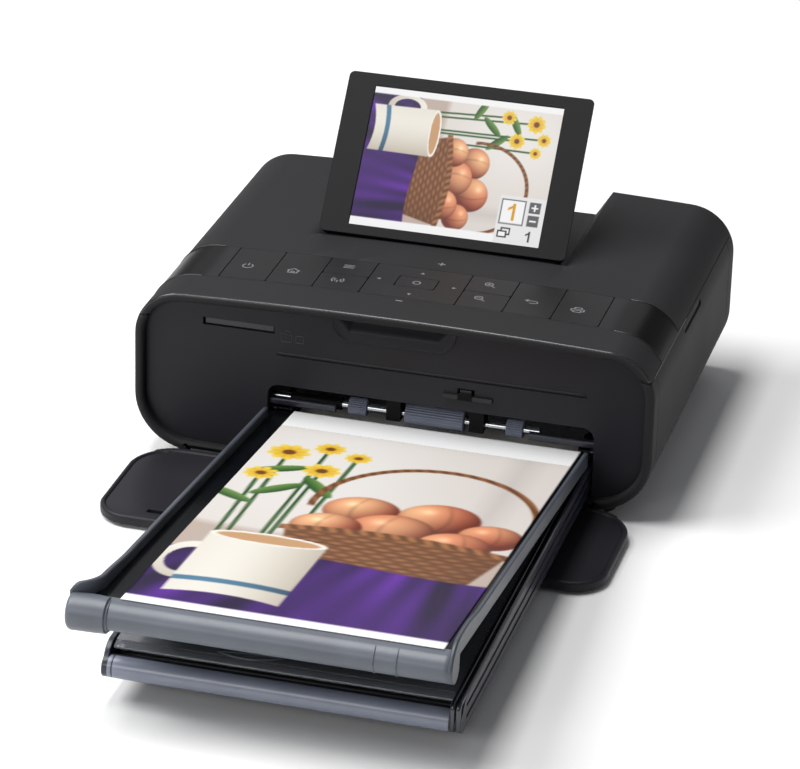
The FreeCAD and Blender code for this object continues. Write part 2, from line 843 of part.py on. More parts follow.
def screws():
    made = []
    for x, y in screwPlaces():
        head = rodZ(footHeight + screwSink, footHeight + screwSink + screwHeadHeight, x, y,
                    screwHeadRadius)
        shank = rodZ(footHeight + screwSink, footHeight + screwSink + screwHeadHeight + screwLength, x,
                     y, screwShankRadius)
        slotA = block(x - screwHeadRadius / 2, x + screwHeadRadius / 2, y - screwSlotHalf,
                      y + screwSlotHalf,
                      0, footHeight + screwSink + screwHeadHeight / 2)
        slotB = block(x - screwSlotHalf, x + screwSlotHalf, y - screwHeadRadius / 2,
                      y + screwHeadRadius / 2,
                      0, footHeight + screwSink + screwHeadHeight / 2)
        made.append(cut(fuse([head, shank]), [slotA, slotB]))
    return Part.makeCompound(made)


# Control strip, keys and the board under them

def controlStrip():
    strip = bodyPrism(0, stripFront, stripBack).cut(bodyPrism(wall, stripFront - overrun,
                                                              stripBack + overrun))
    strip = strip.common(between(coverBottom, topZ + overrun))
    keys = block(-keysHalf() - keyGap / 2, keysHalf() + keyGap / 2, keyFront - keyGap / 2,
                 keyBack + keyGap / 2,
                 coverBottom, topZ + overrun)
    return cut(strip, [keys])


def keyCap(x0, x1, y0, y1):
    # A cap that follows the body's crown, with a stem down to its switch
    skin = bodyPrism(0, y0, y1).cut(bodyPrism(capThickness, y0 - overrun, y1 + overrun))
    cap = skin.common(roundedBlock(x0, x1, y0, y1, boardTop, topZ + overrun, cornerRound))
    stem = rodZ(switchTop + clearGap, topZ, (x0 + x1) / 2, (y0 + y1) / 2, stemRadius)
    stem = stem.common(bodyPrism(capThickness / 2, y0, y1))
    return fuse([cap, stem])


def keyTable():
    # Each key's name, its column counted from the pad, and the share of its depth that it takes
    return [
        ("key_power", -3, 0, 1),
        ("key_home", -2, 0, 1),
        ("key_menu", -1, 1 / 2, 1),
        ("key_wireless", -1, 0, 1 / 2),
        ("key_zoom_in", 1, 1 / 2, 1),
        ("key_zoom_out", 1, 0, 1 / 2),
        ("key_back", 2, 0, 1),
        ("key_print", 3, 0, 1)]


def keyBox(column, lowShare, highShare):
    side = 1 if column > 0 else -1
    inner = padWidth / 2 + (abs(column) - 1) * keyPitch
    low = min(side * inner, side * (inner + keyPitch)) + keyGap / 2
    depth = keyBack - keyFront
    y0 = keyFront + depth * lowShare
    y1 = keyFront + depth * highShare
    if lowShare > 0:
        y0 = y0 + keyGap / 2
    if highShare < 1:
        y1 = y1 - keyGap / 2
    return low, low + keyPitch - keyGap, y0, y1


def padCentreY():
    return (keyFront + keyBack) / 2


def okBox():
    y = padCentreY() + okSetBack
    return -okWidth / 2, okWidth / 2, y - okDepth / 2, y + okDepth / 2


def directionPad():
    x0 = -padWidth / 2 + keyGap / 2
    skin = bodyPrism(0, keyFront, keyBack).cut(bodyPrism(capThickness, keyFront - overrun,
                                                         keyBack + overrun))
    pad = skin.common(roundedBlock(x0, -x0, keyFront, keyBack, boardTop, topZ + overrun, cornerRound))
    a0, a1, b0, b1 = okBox()
    hole = roundedBlock(a0 - clearGap, a1 + clearGap, b0 - clearGap, b1 + clearGap, boardTop,
                        topZ + overrun, cornerRound)
    legs = []
    for x, y in padStems():
        leg = rodZ(switchTop + clearGap, topZ, x, y, stemRadius)
        legs.append(leg.common(bodyPrism(capThickness / 2, 0, shellBack)))
    z = padPivotHeight()
    for y0, y1 in ((b0 - padPivotArm / 2, b0), (b1 + padPivotArm / 2, b1)):
        side = 1 if y1 > y0 else -1
        ribY = y0 - side * (clearGap + padBearingWidth / 2)
        low = min(ribY, y1 - side * clearGap)
        high = max(ribY, y1 - side * clearGap)
        rib = block(-padBearingHalf, padBearingHalf, ribY - padBearingWidth / 2, ribY + padBearingWidth / 2,
                    z - padPivotThickness / 2, topZ - capThickness / 2)
        rib = rib.common(bodyPrism(capThickness / 2, 0, shellBack))
        legs.append(fuse([rib, rodY(low, high, 0, z, padPinRadius)]))
    return fuse([cut(pad, [hole])] + legs)


def padStems():
    y = padCentreY()
    side = padWidth / 2 - switchSize / 2 - wall / 2
    reach = (keyBack - keyFront) / 2 - switchSize / 2
    return [(-side, y), (side, y), (0, y - reach), (0, y + reach)]


def padPivotHeight():
    return topZ - capThickness - padPivotThickness / 2 - clearGap


def padPivot():
    # A ring under the pad's cap: it rocks on two pins along X, and the cap tips on two more along Y
    a0, a1, b0, b1 = okBox()
    z = padPivotHeight()
    outer = roundedBlock(a0 - padPivotArm, a1 + padPivotArm, b0 - padPivotArm / 2, b1 + padPivotArm / 2,
                         z - padPivotThickness / 2, z + padPivotThickness / 2, cornerRound)
    reach = padPivotArm + padPinReach
    pins = rodX(a0 - reach, a1 + reach, (b0 + b1) / 2, z, padPinRadius)
    inner = block(a0 - clearGap, a1 + clearGap, b0 - clearGap, b1 + clearGap, z - topZ, topZ)
    sockets = rodY(b0 - padPivotArm, b1 + padPivotArm, 0, z, padPinRadius + runningGap)
    return cut(fuse([outer, pins]), [inner, sockets])


def okKey():
    return keyCap(*okBox())


def keySwitches():
    places = []
    for name, column, low, high in keyTable():
        x0, x1, y0, y1 = keyBox(column, low, high)
        places.append(((x0 + x1) / 2, (y0 + y1) / 2))
    a0, a1, b0, b1 = okBox()
    places.append(((a0 + a1) / 2, (b0 + b1) / 2))
    return places + padStems()


def keyBoard():
    reach = keysHalf() + 3 * wall + postRadius
    board = block(-reach, reach, keyFront, keyBack, boardTop - boardThickness, boardTop)
    pieces = [board.common(bodyPrism(wall + clearGap, 0, shellBack))]
    for x, y in keySwitches():
        pieces.append(block(x - switchSize / 3, x + switchSize / 3, y - switchSize / 3,
                            y + switchSize / 3, boardTop,
                            switchTop - keyTravel))
        pieces.append(rodZ(boardTop, switchTop, x, y, stemRadius))
    a0, a1, b0, b1 = okBox()
    y = (b0 + b1) / 2
    z = padPivotHeight()
    for x in (a0 - padPivotArm - padBearingWidth, a1 + padPivotArm + clearGap):
        bearing = block(x, x + padBearingWidth - clearGap, y - padBearingHalf, y + padBearingHalf, boardTop, z)
        pieces.append(bearing)
    saddles = rodX(-padWidth / 2, padWidth / 2, y, z, padPinRadius + runningGap)
    return cut(fuse(pieces), [saddles])


# Screen unit, drawn lying flat about its hinge axis and then tipped up

def tipUp(shape):
    placed = shape.copy()
    placed.rotate(vec(0, 0, 0), vec(1, 0, 0), screenTilt)
    placed.translate(vec(0, screenAxisY, screenAxisZ))
    return placed


def screenOutline(inset):
    return rectangle(-screenUnitWidth / 2 + inset, screenUnitWidth / 2 - inset,
                     screenEdgeOffset + inset, screenEdgeOffset + screenUnitLength - inset)


def screenTaper(inset):
    # The unit's sides slant inwards to its back, as the walls of its recess do
    slope = (recessTopHalf - recessFloorHalf) / (topZ - recessFloor)
    low = screenFaceRise - 2 * screenUnitThickness
    topHalf = screenUnitWidth / 2 - inset
    lowHalf = topHalf - 2 * screenUnitThickness * slope
    outline = [(-lowHalf, low), (lowHalf, low), (topHalf, screenFaceRise), (-topHalf, screenFaceRise)]
    return slab(outline, [0] * 4, "XZ", screenEdgeOffset - overrun,
                screenEdgeOffset + screenUnitLength + overrun)


def displayBox(grow):
    y0 = screenEdgeOffset + displayOffset
    return -displayWidth / 2 - grow, displayWidth / 2 + grow, y0 - grow, y0 + displayLength + grow


def screenBackCover():
    low = screenFaceRise - screenUnitThickness
    joint = screenFaceRise - bezelThickness
    shell = slab(screenOutline(0), [screenUnitRound] * 4, "XY", low, joint).common(screenTaper(0))
    hollow = slab(screenOutline(screenWall), [screenUnitRound / 2] * 4, "XY", low + screenWall,
                  joint + overrun)
    pieces = [shell.cut(hollow.common(screenTaper(screenWall)))]
    for x in (-armInner - armWidth, armInner):
        eye = rodX(x, x + armWidth, 0, 0, armRadius)
        web = block(x, x + armWidth, 0, armLength, low, armRise)
        pieces.append(fuse([eye, web]))
    cover = fuse(pieces)
    bores = [rodX(x - overrun, x + armWidth + overrun, 0, 0, screenPinRadius + runningGap)
             for x in (-armInner - armWidth, armInner)]
    return tipUp(cut(cover, bores))


def screenBezel():
    frame = slab(screenOutline(0), [screenUnitRound] * 4, "XY", screenFaceRise - bezelThickness,
                 screenFaceRise)
    frame = frame.common(screenTaper(0))
    x0, x1, y0, y1 = displayBox(fitGap)
    return tipUp(cut(frame, [block(x0, x1, y0, y1, 0, screenFaceRise + overrun)]))


def display():
    x0, x1, y0, y1 = displayBox(0)
    glass = block(x0, x1, y0, y1, screenFaceRise - displaySink - displayThickness,
                  screenFaceRise - displaySink)
    gx0, gx1, gy0, gy1 = displayBox(screenWall)
    carrierTop = screenFaceRise - bezelThickness
    carrier = block(gx0, gx1, gy0, gy1, screenFaceRise - screenUnitThickness + screenWall, carrierTop)
    return tipUp(fuse([glass, carrier]))


def screenPins():
    slope = (recessTopHalf - recessFloorHalf) / (topZ - recessFloor)
    reach = recessFloorHalf + (screenAxisZ - recessFloor) * slope + screenPinBite
    pins = [rodX(armInner, reach, screenAxisY, screenAxisZ, screenPinRadius),
            rodX(-reach, -armInner, screenAxisY, screenAxisZ, screenPinRadius)]
    return Part.makeCompound(pins)


# Paper cassette

def sheetHeight(y):
    # Height of the print's underside at a place along the cassette
    return sheetBackZ + (sheetBackY - y) * slopeRise


def lidMiddle(y):
    return sheetHeight(y) - sheetSeat - lidThickness / 2 / math.cos(math.radians(sheetSlope))


lidAxisZ = lidMiddle(lidAxisY)


def cassetteTray():
    sideOutline = rectangle(trayFront + trayRollRadius / 2, trayBack, trayBottom, trayTop)
    side = slab(sideOutline, [traySideRound / 3, 0, 0, traySideRound], "YZ", trayLeft, trayRight)
    hollow = block(trayLeft + trayWall, trayRight - trayWall, trayFront, trayBack - trayWall,
                   trayBottom + trayFloor,
                   trayTop + overrun)
    frontRoom = block(trayLeft + trayWall, trayRight - trayWall, trayFront - overrun, trayBack + overrun,
                      trayRearWall, trayTop + overrun)
    tray = cut(side, [hollow, frontRoom])
    roll = rodX(trayLeft, trayRight, trayFront + trayRollRadius, trayBottom + trayRollRadius,
                trayRollRadius)
    frontWall = block(trayLeft, trayRight, trayFront + trayRollRadius,
                      trayFront + trayRollRadius + trayWall,
                      trayBottom, trayBottom + 2 * trayRollRadius)
    ears = []
    for x in (trayLeft, trayRight - trayWall):
        ears.append(slab(rectangle(lidAxisY - earHalfLength, lidAxisY + earHalfLength,
                                   trayBottom + trayFloor, earHeight),
                         [0, 0, earHalfLength / 2, earHalfLength / 2], "YZ", x, x + trayWall))
    tray = fuse([tray, roll, frontWall] + ears)
    holes = []
    for x0 in (trayLeft - overrun, trayRight - railGrooveDepth):
        for level in (trayBottom + 2 * railGroove, trayBottom + 5 * railGroove):
            holes.append(block(x0, x0 + railGrooveDepth + overrun, trayFront + 2 * trayRollRadius,
                               trayBack + overrun,
                               level, level + railGroove))
    holes.append(rodX(trayLeft + trayWall - rodBite, trayRight - trayWall + rodBite, plateFront,
                      plateRodZ,
                      plateRodRadius + runningGap))
    holes.append(rodX(trayLeft + trayWall - rodBite, trayRight - trayWall + rodBite, innerLidAxisY,
                      innerLidZ(),
                      innerLidRodRadius + runningGap))
    holes.append(rodX(trayLeft - overrun, trayRight + overrun, lidAxisY, lidAxisZ, lidPinRadius))
    return cut(tray, holes)


def innerLidZ():
    return innerLidBottom + innerLidThickness / 2


def liftPlate():
    plate = block(trayLeft + trayWall + plateSideGap, trayRight - trayWall - plateSideGap, plateFront,
                  plateBack,
                  plateBottom, plateBottom + plateThickness)
    rod = rodX(trayLeft + trayWall - rodBite / 2, trayRight - trayWall + rodBite / 2, plateFront,
               plateRodZ, plateRodRadius)
    windows = []
    for x in (cassetteCentre - cassetteWidth / 4, cassetteCentre + cassetteWidth / 4):
        window = roundedBlock(x - switchSize, x + switchSize, plateFront / 2, plateFront / 4,
                              plateBottom - overrun, plateBottom + overrun + plateThickness, cornerRound)
        windows.append(window)
    return fuse([cut(plate, windows), rod])


def paperStack():
    return block(cassetteCentre - sheetWidth / 2, cassetteCentre + sheetWidth / 2,
                 stackBack - sheetLength, stackBack,
                 plateBottom + plateThickness, plateBottom + plateThickness + stackHeight)


def innerLid():
    gap = plateSideGap / 2
    lid = roundedBlock(trayLeft + trayWall + gap, trayRight - trayWall - gap, innerLidFront,
                       innerLidAxisY,
                       innerLidBottom, innerLidBottom + innerLidThickness, cornerRound)
    rod = rodX(trayLeft + trayWall - rodBite / 2, trayRight - trayWall + rodBite / 2, innerLidAxisY,
               innerLidZ(),
               innerLidRodRadius)
    return fuse([lid, rod])


def lidSection(y0, y1, low, high):
    # A sloping strip of the lid's side view, between two offsets from its middle line
    lift = 1 / math.cos(math.radians(sheetSlope))
    return [(y0, lidMiddle(y0) + low * lift), (y1, lidMiddle(y1) + low * lift),
            (y1, lidMiddle(y1) + high * lift), (y0, lidMiddle(y0) + high * lift)]


def cassetteLid():
    halfPlate = lidThickness / 2
    lidBack = lidAxisY - earHalfLength - 2 * clearGap
    plate = slab(lidSection(lidFront, lidBack, -halfPlate, halfPlate), [0] * 4, "YZ", trayLeft, trayRight)
    flangeFront = lidFront - lidRollRadius / 2
    flange = lidSection(flangeFront, lidFlangeBack, -halfPlate, halfPlate + lidFlangeHeight)
    flanges = [slab(flange, [0] * 4, "YZ", x, x + lidFlangeWidth) for x in (trayLeft,
                                                                            trayRight - lidFlangeWidth)]
    roll = rodX(lidRollLeft, trayRight, lidRollY, lidRollZ, lidRollRadius)
    knob = rodX(knobLeft, lidRollLeft, lidRollY, lidRollZ, knobRadius)
    knob = knob.makeFillet(knobRound, [edge for edge in knob.Edges if isinstance(edge.Curve,
                                                                                 Part.Circle)])
    fin = slab([(knobLeft + knobRound, lidRollZ), (trayLeft + lidFlangeWidth, lidRollZ),
                (trayLeft + lidFlangeWidth, finTop),
                (knobLeft + knobRound, finTop)], [0, 0, 0, finRound], "XZ",
               lidRollY + knobRadius - 2 * finThickness, lidRollY + knobRadius - finThickness)
    sweepOutline = [(lidRollY + knobRadius - 2 * finThickness, lidRollZ),
                    (lidRollY + knobRadius + earLength, lidMiddle(lidRollY + earLength)),
                    (lidRollY + knobRadius + 2 * earLength,
                     lidMiddle(lidRollY + 2 * earLength) + lidFlangeHeight),
                    (lidRollY + knobRadius - 2 * finThickness, finTop)]
    leftSweep = slab(sweepOutline, [0, 0, 0, 0], "YZ", trayLeft, trayLeft + lidFlangeWidth)
    earOutline = [(lidRollY - lidRollRadius / 2, lidRollZ - lidRollRadius / 2),
                  (lidRollY + earLength, lidMiddle(lidRollY + earLength)),
                  (lidRollY + 2 * earLength, lidMiddle(lidRollY + 2 * earLength) + lidFlangeHeight),
                  (lidRollY + lidRollRadius + earThickness, earTop), (lidRollY + lidRollRadius, earTop)]
    ear = slab(earOutline, [0, 0, 0, cornerRound, cornerRound], "YZ", trayRight - earThickness, trayRight)
    knuckles = []
    for x in (trayLeft + trayWall + clearGap, trayRight - trayWall - clearGap - lidKnuckleLength):
        eye = rodX(x, x + lidKnuckleLength, lidAxisY, lidAxisZ, lidKnuckleRadius)
        tongue = slab(lidSection(lidBack - overrun, lidAxisY, -halfPlate, halfPlate), [0] * 4, "YZ", x,
                      x + lidKnuckleLength)
        knuckles.append(fuse([eye, tongue]))
    lid = fuse([plate, roll, knob, fin, leftSweep, ear] + flanges + knuckles)
    bores = [rodX(trayLeft - overrun, trayRight + overrun, lidAxisY, lidAxisZ, lidPinRadius + runningGap)]
    return cut(lid, bores)


def lidPins():
    reach = trayWall + clearGap + lidKnuckleLength
    return Part.makeCompound([rodX(trayLeft, trayLeft + reach, lidAxisY, lidAxisZ, lidPinRadius),
                              rodX(trayRight - reach, trayRight, lidAxisY, lidAxisZ, lidPinRadius)])


def printedSheet():
    angle = math.radians(sheetSlope)
    rise = sheetThickness / math.cos(angle)
    y1 = sheetBackY
    y0 = sheetBackY - sheetLength * math.cos(angle)
    outline = [(y0, sheetHeight(y0)), (y1, sheetHeight(y1)), (y1, sheetHeight(y1) + rise),
               (y0, sheetHeight(y0) + rise)]
    return slab(outline, [0] * 4, "YZ", sheetCentre - sheetWidth / 2, sheetCentre + sheetWidth / 2)


# Chassis and paper path

def chassis():
    plates = [block(chassisLeft, chassisLeft + chassisThickness, chassisFront, chassisBack, 0,
                    chassisTop),
              block(chassisRight, chassisRight + chassisThickness, chassisFront, chassisBack, 0,
                    chassisTop)]
    inner0 = chassisLeft + chassisThickness
    frontBeam = block(inner0, chassisRight, beamFront, beamBack, beamBottom,
                      beamBottom + chassisThickness)
    rearBeam = block(inner0, chassisRight, chassisBack - rearBeamDepth, chassisBack, rearBeamBottom,
                     rearBeamBottom + chassisThickness)
    bayFloor = block(inner0, chassisRight, bayFloorFront, chassisBack,
                     footHeight + wall + chassisBottomGap,
                     footHeight + wall + chassisBottomGap + chassisThickness)
    bracketX = gearRight - gearWidth - bracketGap
    motorY, motorZ = motorPlace()
    reach = motorRadius + bracketMargin
    bracket = block(bracketX - bracketThickness, bracketX, motorY - reach, motorY + reach, 0,
                    motorZ + motorRadius)
    foot = block(bracketX - bracketThickness, chassisLeft, motorY + motorRadius, motorY + reach, 0,
                 footHeight + wall + 3 * chassisThickness)
    idlerY, idlerZ = idlerPlace()
    axle = rodX(gearRight - gearWidth - clearGap, chassisLeft, idlerY, idlerZ, idlerAxleRadius)
    shelves = []
    for y in (takeupY, supplyY + shelfSetBack - shelfLength):
        for x in (inner0, chassisRight - shelfReach + overrun):
            shelves.append(block(x, x + shelfReach - overrun, y, y + shelfLength,
                                 shelfTop - chassisThickness, shelfTop))
    for x, y in screwPlaces():
        bayFloor = bayFloor.cut(rodZ(0, chassisTop, x, y, screwBossRadius + clearGap))
    frame = fuse(plates + [frontBeam, rearBeam, bayFloor, bracket, foot, axle] + shelves)
    frame = frame.common(bodyPrism(wall, 0, shellBack))
    window = block(chassisRight - overrun, chassisRight + chassisThickness + overrun, windowFront,
                   windowBack,
                   shelfTop, chassisTop + overrun)
    holes = [window]
    holes.append(rodX(chassisLeft - overrun, chassisRight + 2 * overrun, platenY, platenZ,
                      platenShaftRadius + runningGap))
    holes.append(rodX(chassisLeft - overrun, chassisLeft + 2 * overrun, exitY, exitZ,
                      exitShaftRadius + runningGap))
    holes.append(rodX(bracketX - 2 * overrun, bracketX + overrun, motorY, motorZ, motorShaftRadius * 2))
    for y in (takeupY, supplyY):
        holes.append(rodX(chassisLeft - overrun, chassisLeft + 2 * overrun, y, spoolZ,
                          spoolStubRadius + clearGap))
    return cut(frame, holes)


def exitShaft():
    return rodX(gearRight - gearWidth, exitShaftRight, exitY, exitZ, exitShaftRadius)


def ribbedRoller(left, length, radius):
    # A rubber roller with fine grooves round it
    roller = rodX(left, left + length, exitY, exitZ, radius)
    pitch = length / 5
    grooves = []
    for i in range(1, 5):
        x = left + i * pitch
        ring = rodX(x - fitGap, x + fitGap, exitY, exitZ, radius + overrun)
        grooves.append(ring.cut(rodX(x - fitGap, x + fitGap, exitY, exitZ, radius - clearGap)))
    bore = rodX(left - overrun, left + length + overrun, exitY, exitZ, exitShaftRadius)
    return cut(roller, grooves + [bore])


def exitRollers():
    return Part.makeCompound([
        ribbedRoller(smallRollerLeft, smallRollerLength, exitSmallRadius),
        ribbedRoller(wideRollerLeft, wideRollerLength, exitWideRadius),
        ribbedRoller(rightRollerLeft, rightRollerLength, exitSmallRadius)])


def rollerClips():
    clips = []
    for x in (clipLeft, clipRight):
        clip = block(x, x + clipWidth, exitY - clipHalfDepth, exitY + clipHalfDepth, exitZ - clipFoot,
                     beamBottom)
        clips.append(cut(clip, [rodX(x - overrun, x + clipWidth + overrun, exitY, exitZ,
                                     exitShaftRadius + runningGap)]))
    return Part.makeCompound(clips)


def guideBars():
    left = roundedBlock(chassisLeft + chassisThickness, guideBarInnerLeft, guideBarFront, guideBarBack,
                        guideBarBottom,
                        guideBarTop, cornerRound, "YZ")
    right = roundedBlock(guideBarInnerRight, chassisRight, guideBarFront, guideBarBack, guideBarBottom,
                         guideBarTop,
                         cornerRound, "YZ")
    return Part.makeCompound([left, right])


def platenShaft():
    return rodX(gearRight - gearWidth, chassisRight + chassisThickness + overrun, platenY, platenZ,
                platenShaftRadius)


def platenRoller():
    left = chassisLeft + chassisThickness + 2 * wall
    right = chassisRight - 2 * wall
    tube = rodX(left, right, platenY, platenZ, platenRadius)
    return cut(tube, [rodX(left - overrun, right + overrun, platenY, platenZ, platenShaftRadius)])


def printHead():
    left = chassisLeft + chassisThickness
    low = platenZ + platenRadius + headGap
    base = block(left, chassisRight, headFront, headBack, low, headTop)
    fins = []
    count = int((headBack - headFront) / headFinPitch)
    for i in range(1, count):
        y = headFront + i * headFinPitch
        fins.append(block(left + wall, chassisRight - wall, y - headFinWidth / 2, y + headFinWidth / 2,
                          headTop - headFinDepth, headTop + overrun))
    taper = slab([(headFront - overrun, low - overrun), (headFront + 3 * wall, low - overrun),
                  (headFront - overrun, low + 3 * wall)],
                 [0] * 3, "YZ", left - overrun, chassisRight + overrun)
    return cut(base, fins + [taper])


# Ribbon cassette

def housing(y):
    shell = rodX(housingLeft, housingRight, y, spoolZ, housingRadius)
    hollow = rodX(housingLeft - overrun, housingRight + overrun, y, spoolZ, housingRadius - housingWall)
    slot = block(housingLeft - overrun, housingRight + overrun, y - ribbonSlotHalf, y + ribbonSlotHalf,
                 spoolZ - housingRadius - overrun, spoolZ)
    return cut(shell, [hollow, slot])


def ribbonCassette():
    pieces = [housing(takeupY), housing(supplyY)]
    for x in (housingLeft - endPlateThickness, housingRight):
        outline = rectangle(takeupY - housingRadius, supplyY + housingRadius, spoolZ - housingRadius,
                            spoolZ + housingRadius)
        plate = slab(outline, [housingRadius - overrun] * 4, "YZ", x, x + endPlateThickness)
        gap = roundedBlock(x - overrun, x + endPlateThickness + overrun, headFront - wall,
                           headBack + wall,
                           spoolZ - 2 * housingRadius, headTop + overrun, cornerRound, "YZ")
        pieces.append(plate.cut(gap))
    grip = block(housingRight + endPlateThickness, housingRight + endPlateThickness + ribbonGripDepth,
                 supplyY - ribbonGripHalf, supplyY + ribbonGripHalf, spoolZ - wall / 2, spoolZ + wall / 2)
    shellPiece = fuse(pieces + [grip])
    holes = []
    for y in (takeupY, supplyY):
        holes.append(rodX(housingLeft - endPlateThickness - overrun, housingLeft + overrun, y, spoolZ,
                          spoolStubRadius + runningGap))
        holes.append(rodX(housingRight - overrun, housingRight + endPlateThickness / 2, y, spoolZ,
                          spoolStubRadius + runningGap))
    return cut(shellPiece, holes)


def spool(y, rollRadius):
    core = rodX(housingLeft + spoolEndGap, housingRight - spoolEndGap, y, spoolZ, coreRadius)
    film = rodX(housingLeft + 4 * spoolEndGap, housingRight - 4 * spoolEndGap, y, spoolZ, rollRadius)
    stub = rodX(chassisLeft, housingRight + endPlateThickness / 2 - runningGap, y, spoolZ,
                spoolStubRadius)
    return fuse([core, film, stub])


# Gears

def gearSolid(teeth, phase, y, z, boreRadius):
    # Involute teeth, each flank drawn from the base circle out, thinned a little for backlash
    pitchRadius = gearModule * teeth / 2
    base = pitchRadius * math.cos(math.radians(pressureAngle))
    tip = pitchRadius + gearModule * tipShare
    root = pitchRadius - gearModule * rootShare
    involute = math.tan(math.radians(pressureAngle)) - math.radians(pressureAngle)
    halfTooth = (math.pi * gearModule / 2 - gearBacklash) / 2 / pitchRadius
    outline = []
    start = max(base, root)
    for i in range(teeth):
        centre = phase + 2 * math.pi * i / teeth
        flank = []
        for step in flankShares:
            radius = start + (tip - start) * step
            pressure = math.acos(min(1, base / radius))
            offset = halfTooth + involute - (math.tan(pressure) - pressure)
            flank.append((radius, offset))
        points = [(root, flank[0][1])] + flank
        for radius, offset in points:
            outline.append((radius, centre - offset))
        for radius, offset in reversed(points):
            outline.append((radius, centre + offset))
    corners = [vec(gearRight - gearWidth, y + r * math.cos(a), z + r * math.sin(a)) for r, a in outline]
    corners.append(corners[0])
    disc = Part.Face(Part.makePolygon(corners)).extrude(vec(gearWidth, 0, 0))
    return cut(disc, [rodX(gearRight - gearWidth - overrun, gearRight + overrun, y, z, boreRadius)])


def idlerPlace():
    # The idler sits over the line from the platen gear to the exit gear, in mesh with both
    toPlaten = gearModule * (platenTeeth + idlerTeeth) / 2
    toExit = gearModule * (exitTeeth + idlerTeeth) / 2
    dy = exitY - platenY
    dz = exitZ - platenZ
    span = math.hypot(dy, dz)
    along = (toPlaten ** 2 - toExit ** 2 + span ** 2) / (2 * span)
    off = math.sqrt(toPlaten ** 2 - along ** 2)
    return platenY + (dy * along + dz * off) / span, platenZ + (dz * along - dy * off) / span


def motorPlace():
    reach = gearModule * (platenTeeth + motorTeeth) / 2
    angle = math.radians(motorAngle)
    return platenY + reach * math.cos(angle), platenZ + reach * math.sin(angle)


def meshedPhase(place, teeth, phase, otherPlace, otherTeeth):
    # The phase that sets a gap of the second gear on a tooth of the first, on their line of centres
    line = math.atan2(otherPlace[1] - place[1], otherPlace[0] - place[0])
    share = (line - phase) * teeth / (2 * math.pi)
    return line + math.pi - (1 / 2 - share) * 2 * math.pi / otherTeeth


def gears():
    platenPlace = (platenY, platenZ)
    exitPlace = (exitY, exitZ)
    idlerPhase = meshedPhase(platenPlace, platenTeeth, 0, idlerPlace(), idlerTeeth)
    exitPhase = meshedPhase(idlerPlace(), idlerTeeth, idlerPhase, exitPlace, exitTeeth)
    motorPhase = meshedPhase(platenPlace, platenTeeth, 0, motorPlace(), motorTeeth)
    nodes["platen_gear"] = gearSolid(platenTeeth, 0, platenY, platenZ, platenShaftRadius)
    nodes["idler_gear"] = gearSolid(idlerTeeth, idlerPhase, *idlerPlace(), idlerAxleRadius + runningGap)
    nodes["exit_gear"] = gearSolid(exitTeeth, exitPhase, exitY, exitZ, exitShaftRadius)
    nodes["motor_gear"] = gearSolid(motorTeeth, motorPhase, *motorPlace(), motorShaftRadius)


def motor():
    y, z = motorPlace()
    right = gearRight - gearWidth - bracketGap - bracketThickness
    can = rodX(right - motorLength, right, y, z, motorRadius)
    cap = rodX(right - motorLength - wall, right - motorLength, y, z, motorRadius - wall)
    body = fuse([can.makeFillet(cornerRound, [can.Edges[0]]), cap])
    return cut(body, [rodX(right - motorLength / 2, right + overrun, y, z,
                           motorShaftRadius + runningGap)])


def motorShaft():
    y, z = motorPlace()
    right = gearRight - gearWidth - bracketGap - bracketThickness
    return rodX(right - motorLength / 2, gearRight, y, z, motorShaftRadius)


# Electrics

def fanFrame():
    y0 = shellBack - fanDepth
    frame = roundedBlock(fanCentreX - fanSize / 2, fanCentreX + fanSize / 2, y0, shellBack,
                         fanCentreZ - fanSize / 2,
                         fanCentreZ + fanSize / 2, wall, "XZ")
    bore = rodY(y0 - overrun, shellBack + overrun, fanCentreX, fanCentreZ, fanBoreRadius)
    hub = rodY(y0, y0 + wall, fanCentreX, fanCentreZ, fanHubRadius)
    pieces = [frame.cut(bore), hub, rodY(y0, shellBack - wall, fanCentreX, fanCentreZ, fanAxleRadius)]
    for i in range(3):
        strut = block(0, fanBoreRadius + wall / 2, y0, y0 + wall, -fanStrutWidth / 2, fanStrutWidth / 2)
        strut.rotate(vec(0, 0, 0), vec(0, 1, 0), i * 360 / 3)
        strut.translate(vec(fanCentreX, 0, fanCentreZ))
        pieces.append(strut)
    return fuse(pieces)


def fanRotor():
    y0 = shellBack - fanDepth + wall + clearGap
    y1 = shellBack - wall / 2
    pieces = [rodY(y0, y1, 0, 0, fanHubRadius)]
    for i in range(fanBladeCount):
        blade = block(fanHubRadius - wall / 2, fanBladeReach, y0 + overrun, y1 - overrun,
                      -fanBladeWidth / 2, fanBladeWidth / 2)
        blade.rotate(vec(0, (y0 + y1) / 2, 0), vec(1, 0, 0), fanBladePitch)
        blade.rotate(vec(0, 0, 0), vec(0, 1, 0), i * 360 / fanBladeCount)
        pieces.append(blade)
    rotor = fuse(pieces)
    rotor.translate(vec(fanCentreX, 0, fanCentreZ))
    return cut(rotor, [rodY(y0 - overrun, y1 - overrun, fanCentreX, fanCentreZ,
                            fanAxleRadius + runningGap)])


